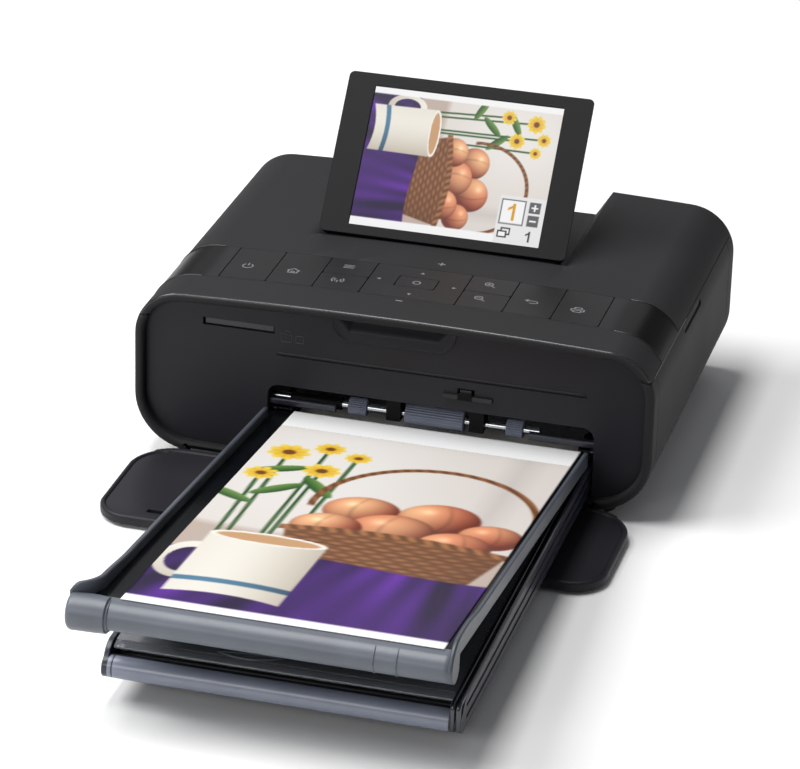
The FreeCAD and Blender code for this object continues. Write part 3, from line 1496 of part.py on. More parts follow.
def mainBoard():
    board = block(mainBoardLeft, mainBoardRight, mainBoardFront, mainBoardBack, mainBoardZ,
                  mainBoardZ + mainBoardThickness)
    pieces = [board]
    floor = footHeight + wall + chassisBottomGap + chassisThickness
    for x in (mainBoardLeft + 2 * postRadius, mainBoardRight - 2 * postRadius):
        for y in (mainBoardFront + 2 * postRadius, chassisBack - 2 * postRadius):
            pieces.append(rodZ(floor, mainBoardZ + runningGap, x, y, postRadius))
    for i in range(4):
        x = mainBoardLeft + chipSize + i * chipPitchShare * chipSize
        y = mainBoardFront + chipSize * (1 + i % 2 * chipStaggerShare)
        top = mainBoardZ + mainBoardThickness
        width = chipSize * (1 - chipShrinkShare * i)
        height = chipHeight * (1 + chipGrowShare * i)
        pieces.append(block(x, x + width, y, y + chipSize * chipDepthShare, top, top + height))
    return fuse(pieces)


def cardSocket():
    shell = block(cardLeft - wall, cardRight + wall, panelBack, panelBack + cardDepth,
                  cardBottom - cardShell,
                  cardBottom + cardHeight + cardShell)
    slot = block(cardLeft, cardRight, panelBack - overrun, panelBack + cardDepth - wall, cardBottom,
                 cardBottom + cardHeight)
    return cut(shell, [slot])


def usbPort():
    z = mainBoardZ + mainBoardThickness
    shell = block(usbLeft, usbLeft + usbWidth, portFront - wall, bodyDepth, z, z + usbHeight)
    hollow = block(usbLeft + usbWall, usbLeft + usbWidth - usbWall, portFront, bodyDepth + overrun,
                   z + usbWall,
                   z + usbHeight - usbWall)
    tongue = block(usbLeft + usbWidth / 4, usbLeft + usbWidth * 3 / 4, portFront - overrun,
                   bodyDepth - wall,
                   z + usbHeight * tongueLowShare, z + usbHeight * tongueHighShare)
    return fuse([cut(shell, [hollow]), tongue])


def powerInlet():
    z = mainBoardZ + mainBoardThickness
    body = block(jackLeft, jackLeft + jackWidth, portFront - wall, bodyDepth, z, z + jackHeight)
    x = jackLeft + jackWidth / 2
    bore = rodY(bodyDepth - jackDepth, bodyDepth + overrun, x, z + jackHeight / 2, jackBoreRadius)
    pin = rodY(bodyDepth - jackDepth - overrun, bodyDepth - wall, x, z + jackHeight / 2, jackPinRadius)
    return fuse([cut(body, [bore]), pin])


def build():
    shell = caseShell()
    nodes["lower_case"] = lowerCase(shell)
    nodes["top_cover"] = topCover(shell)
    nodes["front_panel"] = frontPanel()
    nodes["door_latch"] = doorLatch()
    nodes["rear_cover"] = rearCover()
    nodes["ribbon_door"] = ribbonDoor(shell)
    nodes["ribbon_door_pins"] = ribbonDoorPins()
    nodes["front_door"] = frontDoor()
    nodes["front_door_pins"] = frontDoorPins()
    nodes["rubber_feet"] = feet()
    nodes["case_screws"] = screws()
    nodes["control_strip"] = controlStrip()
    for name, column, low, high in keyTable():
        nodes[name] = keyCap(*keyBox(column, low, high))
    nodes["direction_pad"] = directionPad()
    nodes["pad_pivot"] = padPivot()
    nodes["key_ok"] = okKey()
    nodes["key_board"] = keyBoard()
    nodes["screen_back_cover"] = screenBackCover()
    nodes["screen_bezel"] = screenBezel()
    nodes["display"] = display()
    nodes["screen_hinge_pins"] = screenPins()
    nodes["cassette_tray"] = cassetteTray()
    nodes["lift_plate"] = liftPlate()
    nodes["paper_stack"] = paperStack()
    nodes["cassette_inner_lid"] = innerLid()
    nodes["cassette_lid"] = cassetteLid()
    nodes["cassette_lid_pins"] = lidPins()
    nodes["printed_sheet"] = printedSheet()
    nodes["chassis"] = chassis()
    nodes["exit_shaft"] = exitShaft()
    nodes["exit_rollers"] = exitRollers()
    nodes["roller_clips"] = rollerClips()
    nodes["guide_bars"] = guideBars()
    nodes["platen_shaft"] = platenShaft()
    nodes["platen_roller"] = platenRoller()
    nodes["print_head"] = printHead()
    nodes["ribbon_cassette"] = ribbonCassette()
    nodes["supply_spool"] = spool(supplyY, fullRollRadius)
    nodes["takeup_spool"] = spool(takeupY, emptyRollRadius)
    gears()
    nodes["drive_motor"] = motor()
    nodes["motor_shaft"] = motorShaft()
    nodes["fan_frame"] = fanFrame()
    nodes["fan_rotor"] = fanRotor()
    nodes["main_board"] = mainBoard()
    nodes["card_socket"] = cardSocket()
    nodes["usb_port"] = usbPort()
    nodes["power_inlet"] = powerInlet()


def export():
    os.makedirs("parts", exist_ok=True)
    for name, shape in nodes.items():
        placed = shape.copy()
        placed.translate(vec(0, shiftY, 0))
        print(name, "solids", len(placed.Solids), "volume", round(placed.Volume), "valid",
              placed.isValid())
        placed.exportStep("parts/" + name + ".step")


build()
export()
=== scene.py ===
import json
import math

import bmesh
import bpy
import numpy as np
from mathutils import Matrix, Vector

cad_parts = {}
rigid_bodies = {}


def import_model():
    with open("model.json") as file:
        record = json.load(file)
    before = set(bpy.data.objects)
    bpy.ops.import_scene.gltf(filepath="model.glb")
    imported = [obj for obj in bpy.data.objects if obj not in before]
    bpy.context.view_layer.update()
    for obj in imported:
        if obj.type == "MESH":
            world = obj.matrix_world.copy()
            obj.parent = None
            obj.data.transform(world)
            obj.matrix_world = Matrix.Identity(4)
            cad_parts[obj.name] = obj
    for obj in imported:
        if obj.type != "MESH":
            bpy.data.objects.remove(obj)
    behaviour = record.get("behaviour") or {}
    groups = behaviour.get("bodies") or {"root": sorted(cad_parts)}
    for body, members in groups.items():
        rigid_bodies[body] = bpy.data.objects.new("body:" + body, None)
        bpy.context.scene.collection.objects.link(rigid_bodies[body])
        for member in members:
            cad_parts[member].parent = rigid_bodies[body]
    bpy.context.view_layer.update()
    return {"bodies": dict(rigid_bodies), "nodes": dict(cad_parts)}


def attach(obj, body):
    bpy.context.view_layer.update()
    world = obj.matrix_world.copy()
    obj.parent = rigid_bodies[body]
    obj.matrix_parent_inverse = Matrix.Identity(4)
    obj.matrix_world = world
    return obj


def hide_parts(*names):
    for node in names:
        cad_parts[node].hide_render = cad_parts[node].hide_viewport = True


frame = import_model()
print("frame loaded")

mm = 0.001
shiftY = 23.75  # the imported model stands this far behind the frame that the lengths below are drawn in

cameraView = {
    "place": (308.490, -1166.168, 595.724),
    "azimuth": 14.690,  # degrees, as the next two
    "height": 24.785,
    "roll": 1.698,
    "lens": 178.5,
    "sensor": 36.0,
    "shift": (0.0029, 0.0017),
    "far": 20.0,  # metres
}


def addObject(name, data):
    made = bpy.data.objects.new(name, data)
    bpy.context.scene.collection.objects.link(made)
    return made


def photoCamera(view):
    az, el, roll = (math.radians(view[k]) for k in ("azimuth", "height", "roll"))
    back = Vector((math.sin(az) * math.cos(el), -math.cos(az) * math.cos(el), math.sin(el)))
    right = Vector((math.cos(az), math.sin(az), 0.0))
    up = back.cross(right)
    right, up = math.cos(roll) * right + math.sin(roll) * up, math.cos(roll) * up - math.sin(roll) * right
    data = bpy.data.cameras.new("photoCamera")
    data.sensor_width, data.lens, data.clip_end = view["sensor"], view["lens"], view["far"]
    data.shift_x, data.shift_y = view["shift"]
    camera = addObject("photoCamera", data)
    x, y, z = view["place"]
    turn = Matrix((right, up, back)).transposed().to_4x4()
    camera.matrix_world = Matrix.Translation((x * mm, (y + shiftY) * mm, z * mm)) @ turn
    bpy.context.scene.camera = camera


photoCamera(cameraView)
print("camera set")


# sRGB parts of 0 to 1 as the linear light that a shader takes.
def toLinear(parts):
    return np.where(parts <= 0.04045, parts / 12.92, ((parts + 0.055) / 1.055) ** 2.4)


def fromHex(text):
    return (*toLinear(np.array([int(text[i : i + 2], 16) for i in (1, 3, 5)]) / 255.0).tolist(), 1.0)


# Adds a node, sets its sockets, properties or colour stops by name, and joins its inputs to sockets or to the first
# output of other nodes.
def addNode(tree, kind, settings=None, links=None):
    node = tree.nodes.new("ShaderNode" + kind)
    for name, value in (settings or {}).items():
        if name == "stops":
            for element, (place, colour) in zip(node.color_ramp.elements, value):
                element.position, element.color = place, fromHex(colour)
        elif isinstance(name, int) or name in node.inputs:
            node.inputs[name].default_value = value
        else:
            setattr(node, name, value)
    for name, source in (links or {}).items():
        tree.links.new(source.outputs[0] if hasattr(source, "outputs") else source, node.inputs[name])
    return node


# A material under its own name. The pattern adds the nodes that draw it on Object coordinates, and gives the
# shader's plain values and its linked inputs.
def makeFinish(name, pattern, look):
    material = bpy.data.materials.new(name)
    material.use_nodes = True
    tree = material.node_tree
    tree.nodes.clear()
    place = addNode(tree, "TexCoord").outputs["Object"]
    shader = addNode(tree, "BsdfPrincipled", *pattern(tree, place, look))
    addNode(tree, "OutputMaterial", links={"Surface": shader})
    return material


# Relief over rounded edges: a height that bumps the surface, on a bevel's normal, because no made edge is sharp.
def roundedRelief(tree, height, strength, depth, edge):
    rounding = addNode(tree, "Bevel", {"samples": 4, "Radius": edge * mm})
    settings = {"Strength": strength, "Distance": depth * mm}
    return addNode(tree, "Bump", settings, {"Height": height, "Normal": rounding})


noiseSpan = {"From Min": 0.3, "From Max": 0.7}  # nearly all that a noise gives


# Moulded plastic: one body colour that drifts a little over a few centimetres, the grain that the tool leaves,
# and roughness that varies with handling.
def mouldedPlastic(tree, place, look):
    drift = addNode(tree, "TexNoise", {"Scale": 1 / (look["drift"] * mm), "Detail": 3.0}, {"Vector": place})
    tone = addNode(tree, "ValToRGB", {"stops": [(0.3, look["dark"]), (0.7, look["light"])]}, {"Fac": drift})
    grain = addNode(tree, "TexNoise", {"Scale": 1 / (look["grain"] * mm), "Detail": 2.0}, {"Vector": place})
    pits = addNode(tree, "TexVoronoi", {"Scale": 0.6 / (look["grain"] * mm)}, {"Vector": place})
    height = addNode(tree, "Math", {"operation": "MULTIPLY"}, {0: grain, 1: pits})
    bump = roundedRelief(tree, height, look["relief"], 0.05, look["edge"])
    low, high = look["rough"]
    rough = addNode(tree, "MapRange", {**noiseSpan, "To Min": low, "To Max": high}, {"Value": drift})
    settings = {"IOR": look["ior"], "Specular IOR Level": look["gloss"]}
    return settings, {"Base Color": tone, "Roughness": rough, "Normal": bump}


# Metal: the colour of its reflection, and fine lines along one axis from turning, grinding or rolling.
def workedMetal(tree, place, look):
    stretch = addNode(tree, "Mapping", {"Scale": look["lines"]}, {"Vector": place})
    lines = addNode(tree, "TexNoise", {"Scale": 1 / (look["pitch"] * mm), "Detail": 3.0}, {"Vector": stretch})
    tone = addNode(tree, "ValToRGB", {"stops": [(0.35, look["dark"]), (0.65, look["light"])]}, {"Fac": lines})
    bump = roundedRelief(tree, lines, look["relief"], 0.03, 0.15)
    low, high = look["rough"]
    rough = addNode(tree, "MapRange", {**noiseSpan, "To Min": low, "To Max": high}, {"Value": lines})
    return {"Metallic": 1.0}, {"Base Color": tone, "Roughness": rough, "Normal": bump}


# Clear moulded polycarbonate with a smoke tint: some light passes, bends at IOR 1.58 and comes out darker and
# bluer.
def smokePolycarbonate(tree, place, look):
    flow = addNode(tree, "TexNoise", {"Scale": 1 / (look["flow"] * mm), "Detail": 2.0}, {"Vector": place})
    tone = addNode(tree, "ValToRGB", {"stops": [(0.3, look["dark"]), (0.7, look["light"])]}, {"Fac": flow})
    bump = roundedRelief(tree, flow, 0.08, 0.05, look["edge"])
    settings = {"IOR": 1.58, "Roughness": look["rough"], "Transmission Weight": look["clear"]}
    return {**settings, "Specular IOR Level": look["gloss"]}, {"Base Color": tone, "Normal": bump}


# A thin even layer whose colour drifts faintly between two tones.
def mottledLayer(tree, place, look):
    settings = {"Scale": 1 / (look["size"] * mm), "Detail": look["detail"]}
    mottle = addNode(tree, "TexNoise", settings, {"Vector": place})
    tone = addNode(tree, "ValToRGB", {"stops": [(0.3, look["dark"]), (0.7, look["light"])]}, {"Fac": mottle})
    return look["shader"], {"Base Color": tone}


# The mesh's colour attribute as a picture, under a clear layer that is not quite flat.
def picturedLayer(tree, place, look):
    image = addNode(tree, "VertexColor", {"layer_name": "picture"})
    settings = {"Scale": 1 / (look["size"] * mm), "Detail": look["detail"]}
    waves = addNode(tree, "TexNoise", settings, {"Vector": place})
    bump = addNode(tree, "Bump", {"Strength": look["relief"], "Distance": look["depth"] * mm}, {"Height": waves})
    return look["shader"], {look["socket"]: image, "Normal": bump}


# Dye ribbon on its rolls: the wound turns show as fine rings in two dark plum tones, under a clear overcoat.
def woundFilm(tree, place, look):
    scale = 0.3 / (look["turn"] * mm)
    turns = addNode(tree, "TexWave", {"Scale": scale, "Distortion": 1.5, "bands_direction": "X"}, {"Vector": place})
    stops = [(0.0, look["dark"]), (1.0, look["light"])]
    tone = addNode(tree, "ValToRGB", {"stops": stops}, {"Fac": turns.outputs["Fac"]})
    return {"Roughness": 0.22, "IOR": 1.64, "Coat Weight": 0.4}, {"Base Color": tone}


# Glass-fibre board under green solder mask: the weave shows faintly through the lacquer.
def solderMask(tree, place, look):
    tones = {"Color1": fromHex(look["dark"]), "Color2": fromHex(look["light"])}
    weave = addNode(tree, "TexChecker", {"Scale": 1 / (look["thread"] * mm), **tones}, {"Vector": place})
    blotch = addNode(tree, "TexNoise", {"Scale": 1 / (look["blotch"] * mm)}, {"Vector": place})
    settings = {"data_type": "RGBA", "blend_type": "MULTIPLY", "Factor": 0.4}
    tone = addNode(tree, "Mix", settings, {6: weave, 7: blotch.outputs["Color"]})
    return {"Roughness": 0.3, "IOR": 1.5, "Coat Weight": 0.5}, {"Base Color": tone.outputs[2]}


# Display glass at its edges and sides: black mask under a polished face, faintly smeared.
def maskedGlass(tree, place, look):
    smear = addNode(tree, "TexNoise", {"Scale": 1 / (look["smear"] * mm), "Detail": 3.0}, {"Vector": place})
    rough = addNode(tree, "MapRange", {"To Min": 0.08, "To Max": 0.16}, {"Value": smear})
    return {"Base Color": fromHex(look["dark"]), "IOR": 1.52}, {"Roughness": rough}


# The control strip is one moulding whose middle matches the keys and whose ends, past the last key, are painted
# near black: painted shade and painted dark reflection of its curved glossy ends. The colour turns over a short way
# at the place given.
def stripWithPaintedDarkEnds(tree, place, look):
    split = addNode(tree, "SeparateXYZ", links={"Vector": place})
    side = addNode(tree, "Math", {"operation": "ABSOLUTE"}, {0: split})
    start, end = ((look["end"] + sign * look["turn"] / 2) * mm for sign in (-1, 1))
    share = addNode(tree, "MapRange", {"From Min": start, "From Max": end}, {"Value": side})
    # the ends' near-black tone is painted shade and painted dark reflection of the curved glossy ends
    tone = addNode(tree, "ValToRGB", {"stops": [(0.0, look["light"]), (1.0, look["dark"])]}, {"Fac": share})
    grain = addNode(tree, "TexNoise", {"Scale": 1 / (look["grain"] * mm), "Detail": 2.0}, {"Vector": place})
    rough = addNode(tree, "MapRange", {"To Min": 0.45, "To Max": 0.3}, {"Value": share})
    bump = roundedRelief(tree, grain, 0.08, 0.03, look["edge"])
    return {"IOR": 1.53, "Specular IOR Level": 0.06}, {"Base Color": tone, "Roughness": rough, "Normal": bump}


# Sizes in these tables are millimetres: how far a tone drifts, the grain, the rounding of edges, the lines' pitch.
plasticWords = "dark light drift grain relief edge rough gloss ior"
plastics = {
    # spark-eroded ABS of the shell: a fine even grain that spreads every highlight
    "sparkErodedAbsShell": ("#1B1B1D", "#1E1E20", 60, 0.55, 0.35, 0.4, (0.68, 0.76), 0.28, 1.53),
    # the front panel is the same ABS with a shallower grain, so it looks a little bluer and smoother
    "satinAbsFrontPanel": ("#202025", "#242429", 50, 0.4, 0.15, 0.35, (0.42, 0.5), 0.2, 1.53),
    # keys: the same ABS from a finer tool, a little smoother than the shell
    "fineGrainAbsStrip": ("#151516", "#18181A", 40, 0.35, 0.12, 0.25, (0.46, 0.52), 0.2, 1.53),
    # the beads on the rim, the strip's edges and the seam are polished, so that each draws one thin bright line
    "polishedAbsRim": ("#1A1A1C", "#1D1D1F", 40, 0.4, 0.03, 0.1, (0.24, 0.28), 0.6, 1.53),
    # clips and sleeve on the exit shaft: unfilled acetal dyed jet black, with little sheen; the same black is
    # painted shade in the latch's hollow
    "dyedAcetalClips": ("#050506", "#08080A", 15, 0.4, 0.2, 0.2, (0.5, 0.6), 0.15, 1.48),
    # card slot shutter: ABS with a violet tint, smooth
    "tintedAbsShutter": ("#120C1C", "#181024", 10, 0.4, 0.05, 0.1, (0.28, 0.34), 0.5, 1.53),
    # the screen's frame and back: satin ABS
    "satinAbsScreenHousing": ("#131314", "#161617", 45, 0.4, 0.18, 0.35, (0.44, 0.52), 0.13, 1.53),
    # inner chassis and covers: plain black ABS with tool marks
    "plainBlackAbsInner": ("#101013", "#15151A", 25, 0.7, 0.3, 0.2, (0.45, 0.6), 0.5, 1.53),
    # gears and spools: natural acetal, milky and slightly waxy
    "mouldedAcetalGears": ("#D9D6CC", "#E8E5DC", 12, 0.3, 0.1, 0.12, (0.3, 0.42), 0.5, 1.48),
    # moulded silicone rubber of the rollers: blue-grey and dull
    "mouldedSiliconeRollers": ("#6A7080", "#7B8191", 8, 0.35, 0.35, 0.15, (0.55, 0.7), 0.5, 1.41),
    # feet: moulded nitrile rubber, nearly matt
    "mouldedRubberFeet": ("#121212", "#1A1A1A", 6, 0.5, 0.5, 0.3, (0.7, 0.85), 0.5, 1.52),
}
metalWords = "dark light lines pitch relief rough"
metals = {
    # ground steel of shafts and pins: bright, with fine rings round it
    "groundSteelShaft": ("#9FA3A8", "#C9CCD0", (12.0, 1.0, 1.0), 1.2, 0.1, (0.16, 0.28)),
    # zinc-coated sheet: greyer and softly blotched
    "galvanisedSteelSheet": ("#8D9297", "#B4B8BB", (1.0, 1.0, 1.0), 3.0, 0.1, (0.35, 0.55)),
    # extruded aluminium of the print head: pale, drawn out along its length
    "extrudedAluminiumHead": ("#B9BBBD", "#D8D9DA", (0.1, 1.0, 1.0), 0.4, 0.2, (0.28, 0.4)),
    # turned brass: warm and bright
    "turnedBrassContacts": ("#B58A45", "#D9B468", (1.0, 1.0, 1.0), 0.6, 0.1, (0.2, 0.35)),
}
clearWords = "dark light flow edge rough gloss clear"
clears = {
    # polished smoke polycarbonate: the plate looks dark, because little of its light comes back
    "polishedPolycarbonateLid": ("#090A0D", "#0D0F12", 14, 0.4, 0.18, 0.03, 0.05),
    # the lid's thin walls are painted a tone between the plate and the roll: painted light, for the light that they
    # let through and catch
    "etchedPolycarbonateWalls": ("#4A4E58", "#545963", 14, 0.4, 0.36, 0.4, 0.25),
    # roll and knob: the plate's smoke plastic, rougher, and painted much paler: painted light, for the light that
    # they catch
    "smokePolycarbonatePaintedLit": ("#585D66", "#626872", 14, 0.4, 0.42, 0.5, 0.12),
    # the bar across the tray's front: smoother than the roll, and painted paler than the tray: painted highlight
    # along its top
    "smokePolycarbonateBarPaintedHighlight": ("#7A8090", "#848A9A", 12, 0.3, 0.3, 0.6, 0.05),
    # tray: a deeper tint, satin
    "smokePolycarbonateTray": ("#262933", "#2F3340", 14, 0.6, 0.3, 0.4, 0.1),
    # inner lid: clear enough to show some of the paper under it; its pale grey is partly a light smoke tint and
    # partly painted reflection
    "clearPolycarbonateInnerLid": ("#8A8D94", "#94979F", 20, 0.4, 0.16, 0.5, 0.6),
    # rails at the tray's corner: nearly black and polished
    "polishedPolycarbonateRails": ("#181B22", "#20242D", 10, 0.2, 0.16, 0.7, 0.0),
}
mottleWords = "size detail dark light shader"
mottles = {
    # resin-coated photo paper, blank: a bright base with the faint mottle of its fibres
    "resinCoatedPhotoPaper": (1.5, 4.0, "#E9E8E4", "#F2F1EE", {"Roughness": 0.32, "IOR": 1.5}),
    # pad-printed ink of the legends: a thin grey film, a little uneven where it took less well
    "padPrintedGreyInk": (0.5, 2.0, "#6B6C6F", "#7B7C7F", {"Roughness": 0.5, "IOR": 1.5}),
}
pictureWords = "size detail relief depth socket shader"
printCoat = {"Roughness": 0.4, "IOR": 1.5, "Specular IOR Level": 0.2}
displayFilm = {"Base Color": fromHex("#08080A"), "Roughness": 0.25, "IOR": 1.5, "Emission Strength": 0.9}
pictures = {
    # dye-sublimation print: the picture under a smooth clear overcoat
    "overcoatedDyePrint": (1.5, 3.0, 0.05, 0.03, "Base Color", printCoat),
    # lit liquid-crystal display behind an anti-glare film: it gives its own light and only softly reflects the room
    "litDisplayUnderFilm": (0.4, 2.0, 0.04, 0.02, "Emission Color", displayFilm),
}
finishes = {
    "dyeCoatedPolyesterFilm": (woundFilm, {"dark": "#2B2230", "light": "#4A3340", "turn": 0.4}),
    "solderMaskedGlassBoard": (solderMask, {"dark": "#14523A", "light": "#17603F", "thread": 1.0, "blotch": 6.0}),
    "blackMaskedGlass": (maskedGlass, {"dark": "#0B0B0D", "smear": 18.0}),
    # the strip's ends are painted near black: painted shade and painted dark reflection
    "absStripWithPaintedShadeEnds": (
        stripWithPaintedDarkEnds,
        {"light": "#29292B", "dark": "#040405", "end": 71.0, "turn": 3.0, "grain": 0.35, "edge": 0.25},
    ),
}
for pattern, words, rows in (
    (mouldedPlastic, plasticWords, plastics),
    (workedMetal, metalWords, metals),
    (smokePolycarbonate, clearWords, clears),
    (mottledLayer, mottleWords, mottles),
    (picturedLayer, pictureWords, pictures),
):
    finishes.update({name: (pattern, dict(zip(words.split(), row))) for name, row in rows.items()})
finishes = {name: makeFinish(name, *finish) for name, finish in finishes.items()}

slotFinish = {
    "body_shell": "sparkErodedAbsShell",
    "front_panel": "satinAbsFrontPanel",
    "gloss_strip": "fineGrainAbsStrip",
    "screen_housing": "satinAbsScreenHousing",
    "display": "blackMaskedGlass",
    "smoke_plastic": "polishedPolycarbonateLid",
    "white_plastic": "mouldedAcetalGears",
    "black_plastic": "plainBlackAbsInner",
    "rubber": "mouldedSiliconeRollers",
    "sheet_steel": "galvanisedSteelSheet",
    "pin_steel": "groundSteelShaft",
    "head_aluminium": "extrudedAluminiumHead",
    "brass": "turnedBrassContacts",
    "ribbon_film": "dyeCoatedPolyesterFilm",
    "circuit_board": "solderMaskedGlassBoard",
    "paper": "resinCoatedPhotoPaper",
}
nodeFinish = {
    "cassette_tray": "smokePolycarbonateTray",
    "lift_plate": "plainBlackAbsInner",
    "cassette_inner_lid": "clearPolycarbonateInnerLid",
    "rubber_feet": "mouldedRubberFeet",
    "control_strip": "absStripWithPaintedShadeEnds",
    "guide_bars": "smokePolycarbonateTray",
    "roller_clips": "dyedAcetalClips",
    "door_latch": "plainBlackAbsInner",
}
otherwise = "plainBlackAbsInner"
for name, piece in frame["nodes"].items():
    slots = [m.name if m else "" for m in piece.data.materials]
    piece.data.materials.clear()
    for finish in [nodeFinish.get(name, slotFinish.get(slot, otherwise)) for slot in slots] or [otherwise]:
        piece.data.materials.append(finishes[finish])
print("materials made")


# Three coordinates, each an array or one number, as one array of points.
def pointsAt(x, y, z):
    return np.stack(np.broadcast_arrays(x, y, z), axis=-1)


# The quads of a grid of points, wound to face along the cross product of the column and row directions. A closed
# grid joins its last row or column to its first.
def gridQuads(rows, columns, closeRows=False, closeColumns=False):
    index = np.arange(rows * columns).reshape(rows, columns)
    grid = np.vstack([index, index[:1]]) if closeRows else index
    grid = np.hstack([grid, grid[:, :1]]) if closeColumns else grid
    return np.stack([grid[:-1, :-1], grid[:-1, 1:], grid[1:, 1:], grid[1:, :-1]], axis=-1).reshape(-1, 4)


# One mesh object from several grids of points, in millimetres of the drawing frame. Each part is the grid alone or
# the grid with its two closing flags. Points that coincide, at seams and poles, are merged where that is asked.
def gridMesh(name, *parts, merge=False, smooth=True):
    points, quads, count = [], [], 0
    for part in parts:
        grid, *closed = part if isinstance(part, tuple) else (part,)
        points.append(grid.reshape(-1, 3))
        quads.append(gridQuads(*grid.shape[:2], *closed) + count)
        count += len(points[-1])
    placed = (np.concatenate(points) + (0.0, shiftY, 0.0)) * mm
    faces = np.concatenate(quads)
    mesh = bpy.data.meshes.new(name)
    mesh.vertices.add(len(placed))
    mesh.vertices.foreach_set("co", placed.astype(np.float32).ravel())
    mesh.loops.add(faces.size)
    mesh.loops.foreach_set("vertex_index", faces.astype(np.int32).ravel())
    mesh.polygons.add(len(faces))
    mesh.polygons.foreach_set("loop_start", np.arange(0, faces.size, 4, dtype=np.int32))
    mesh.polygons.foreach_set("use_smooth", np.full(len(faces), smooth))
    mesh.update()
    mesh.validate()
    if merge:
        work = bmesh.new()
        work.from_mesh(mesh)
        bmesh.ops.remove_doubles(work, verts=work.verts, dist=0.002 * mm)
        bmesh.ops.recalc_face_normals(work, faces=work.faces)
        work.to_mesh(mesh)
        work.free()
        mesh.set_sharp_from_angle(angle=math.radians(38))
    return addObject(name, mesh)


# A piece's finish, the body it rides on, and where it is a thin sheet the wall it gets. Its slot is passed but not
# used.
def dress(piece, finish, body, slot, wall=0.0, offset=-1.0):
    piece.data.materials.append(finishes[finish])
    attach(piece, body)
    if wall:
        solid = piece.modifiers.new("wall", "SOLIDIFY")
        solid.thickness, solid.offset, solid.use_even_offset = wall * mm, offset, True
    return piece


def makePiece(name, where, *parts, wall=0.0, offset=-1.0, smooth=True):
    return dress(gridMesh(name, *parts, smooth=smooth), *where, wall, offset)


# A piece of round bars or turned solids. A turned solid with a bore closes its outline too.
def makeTubes(name, where, *tubes, bored=False):
    return dress(gridMesh(name, *[(tube, bored, True) for tube in tubes], merge=True), *where)


# A solid of revolution about a line along X, from an outline of (place along X, radius). A third value is the share
# of the flutes there: the radius dips by the flutes' depth times a cosine of the angle, one dip for each flute.
def turnedX(outline, centreY, centreZ, turns, depth=0.0, flutes=0):
    outline = np.asarray(outline, float)
    angle = np.linspace(0, 2 * np.pi, turns, endpoint=False)
    share = outline[:, 2:] if outline.shape[1] > 2 else 1.0
    radius = outline[:, 1:2] + share * depth * (np.cos(angle * flutes) - 1.0)
    return pointsAt(outline[:, :1], centreY + radius * np.cos(angle), centreZ + radius * np.sin(angle))


# A round bar along a path of points: at each point a ring stands square to the path, and the rings shrink to a
# point over the last radius at both ends, as a ball end does. Upright says how the rings are turned.
def barAlong(path, radius, around=14, upright=(0.0, 0.0, 1.0)):
    path = np.asarray(path, float)
    run = np.concatenate([[0], np.cumsum(np.linalg.norm(np.diff(path, axis=0), axis=1))])
    ends = np.sin(np.linspace(0, np.pi / 2, 6)) * radius
    between = run[(run > radius) & (run < run[-1] - radius)]
    places = np.unique(np.concatenate([radius - ends, between, run[-1] - radius + ends]))
    line = np.stack([np.interp(places, run, path[:, i]) for i in range(3)], axis=-1)
    reach = np.minimum(np.minimum(places, run[-1] - places), radius)
    size = np.sqrt(np.clip(radius**2 - (radius - reach) ** 2, 0, None))
    ahead = np.gradient(line, axis=0)
    ahead /= np.linalg.norm(ahead, axis=1, keepdims=True)
    side = np.cross(ahead, upright)
    flat = np.linalg.norm(side, axis=1, keepdims=True) < 0.05
    side = np.where(flat, np.array((1.0, 0.0, 0.0)), side)
    side -= ahead * np.sum(side * ahead, axis=1, keepdims=True)
    side /= np.linalg.norm(side, axis=1, keepdims=True)
    other = np.cross(ahead, side)
    angle = np.linspace(0, 2 * np.pi, around, endpoint=False)
    ring = side[:, None] * np.cos(angle)[None, :, None] + other[:, None] * np.sin(angle)[None, :, None]
    return line[:, None] + ring * size[:, None, None]


# The curve that leaves one point, leans towards a second and arrives at a third: a quadratic of the share of the
# way.
def bentLine(start, middle, end, steps):
    t = np.linspace(0, 1, steps)[:, None]
    return (1 - t) ** 2 * start + 2 * t * (1 - t) * middle + t**2 * end


# Points along a chain of straight runs whose corners are rounded off over one length.
def roundedPath(corners, radius, steps=8):
    corners = np.asarray(corners, float)
    points = [corners[0]]
    for before, here, after in zip(corners[:-2], corners[1:-1], corners[2:]):
        back, on = before - here, after - here
        reach = min(radius, np.linalg.norm(back) / 2, np.linalg.norm(on) / 2)
        start, end = here + back / np.linalg.norm(back) * reach, here + on / np.linalg.norm(on) * reach
        points.extend(bentLine(start, here, end, steps))
    points.append(corners[-1])
    return np.array(points)


# 0 to 1 with level ends: three squares less two cubes of the share.
def smoothStep(share):
    share = np.clip(share, 0, 1)
    return share * share * (3 - 2 * share)


# How far inside an outline a place is, as 0 to 1 over the outline's softness.
def inside(distance, softness):
    return np.clip(0.5 - distance / softness, 0.0, 1.0)


def layOver(base, cover, colour):
    return base + cover[..., None] * (np.asarray(colour, float) - base)


def stamp(base, outline, softness, colour):
    return layOver(base, inside(outline, softness), colour)


def boxOutline(x, y, halfX, halfY):
    return np.maximum(np.abs(x) - halfX, np.abs(y) - halfY)


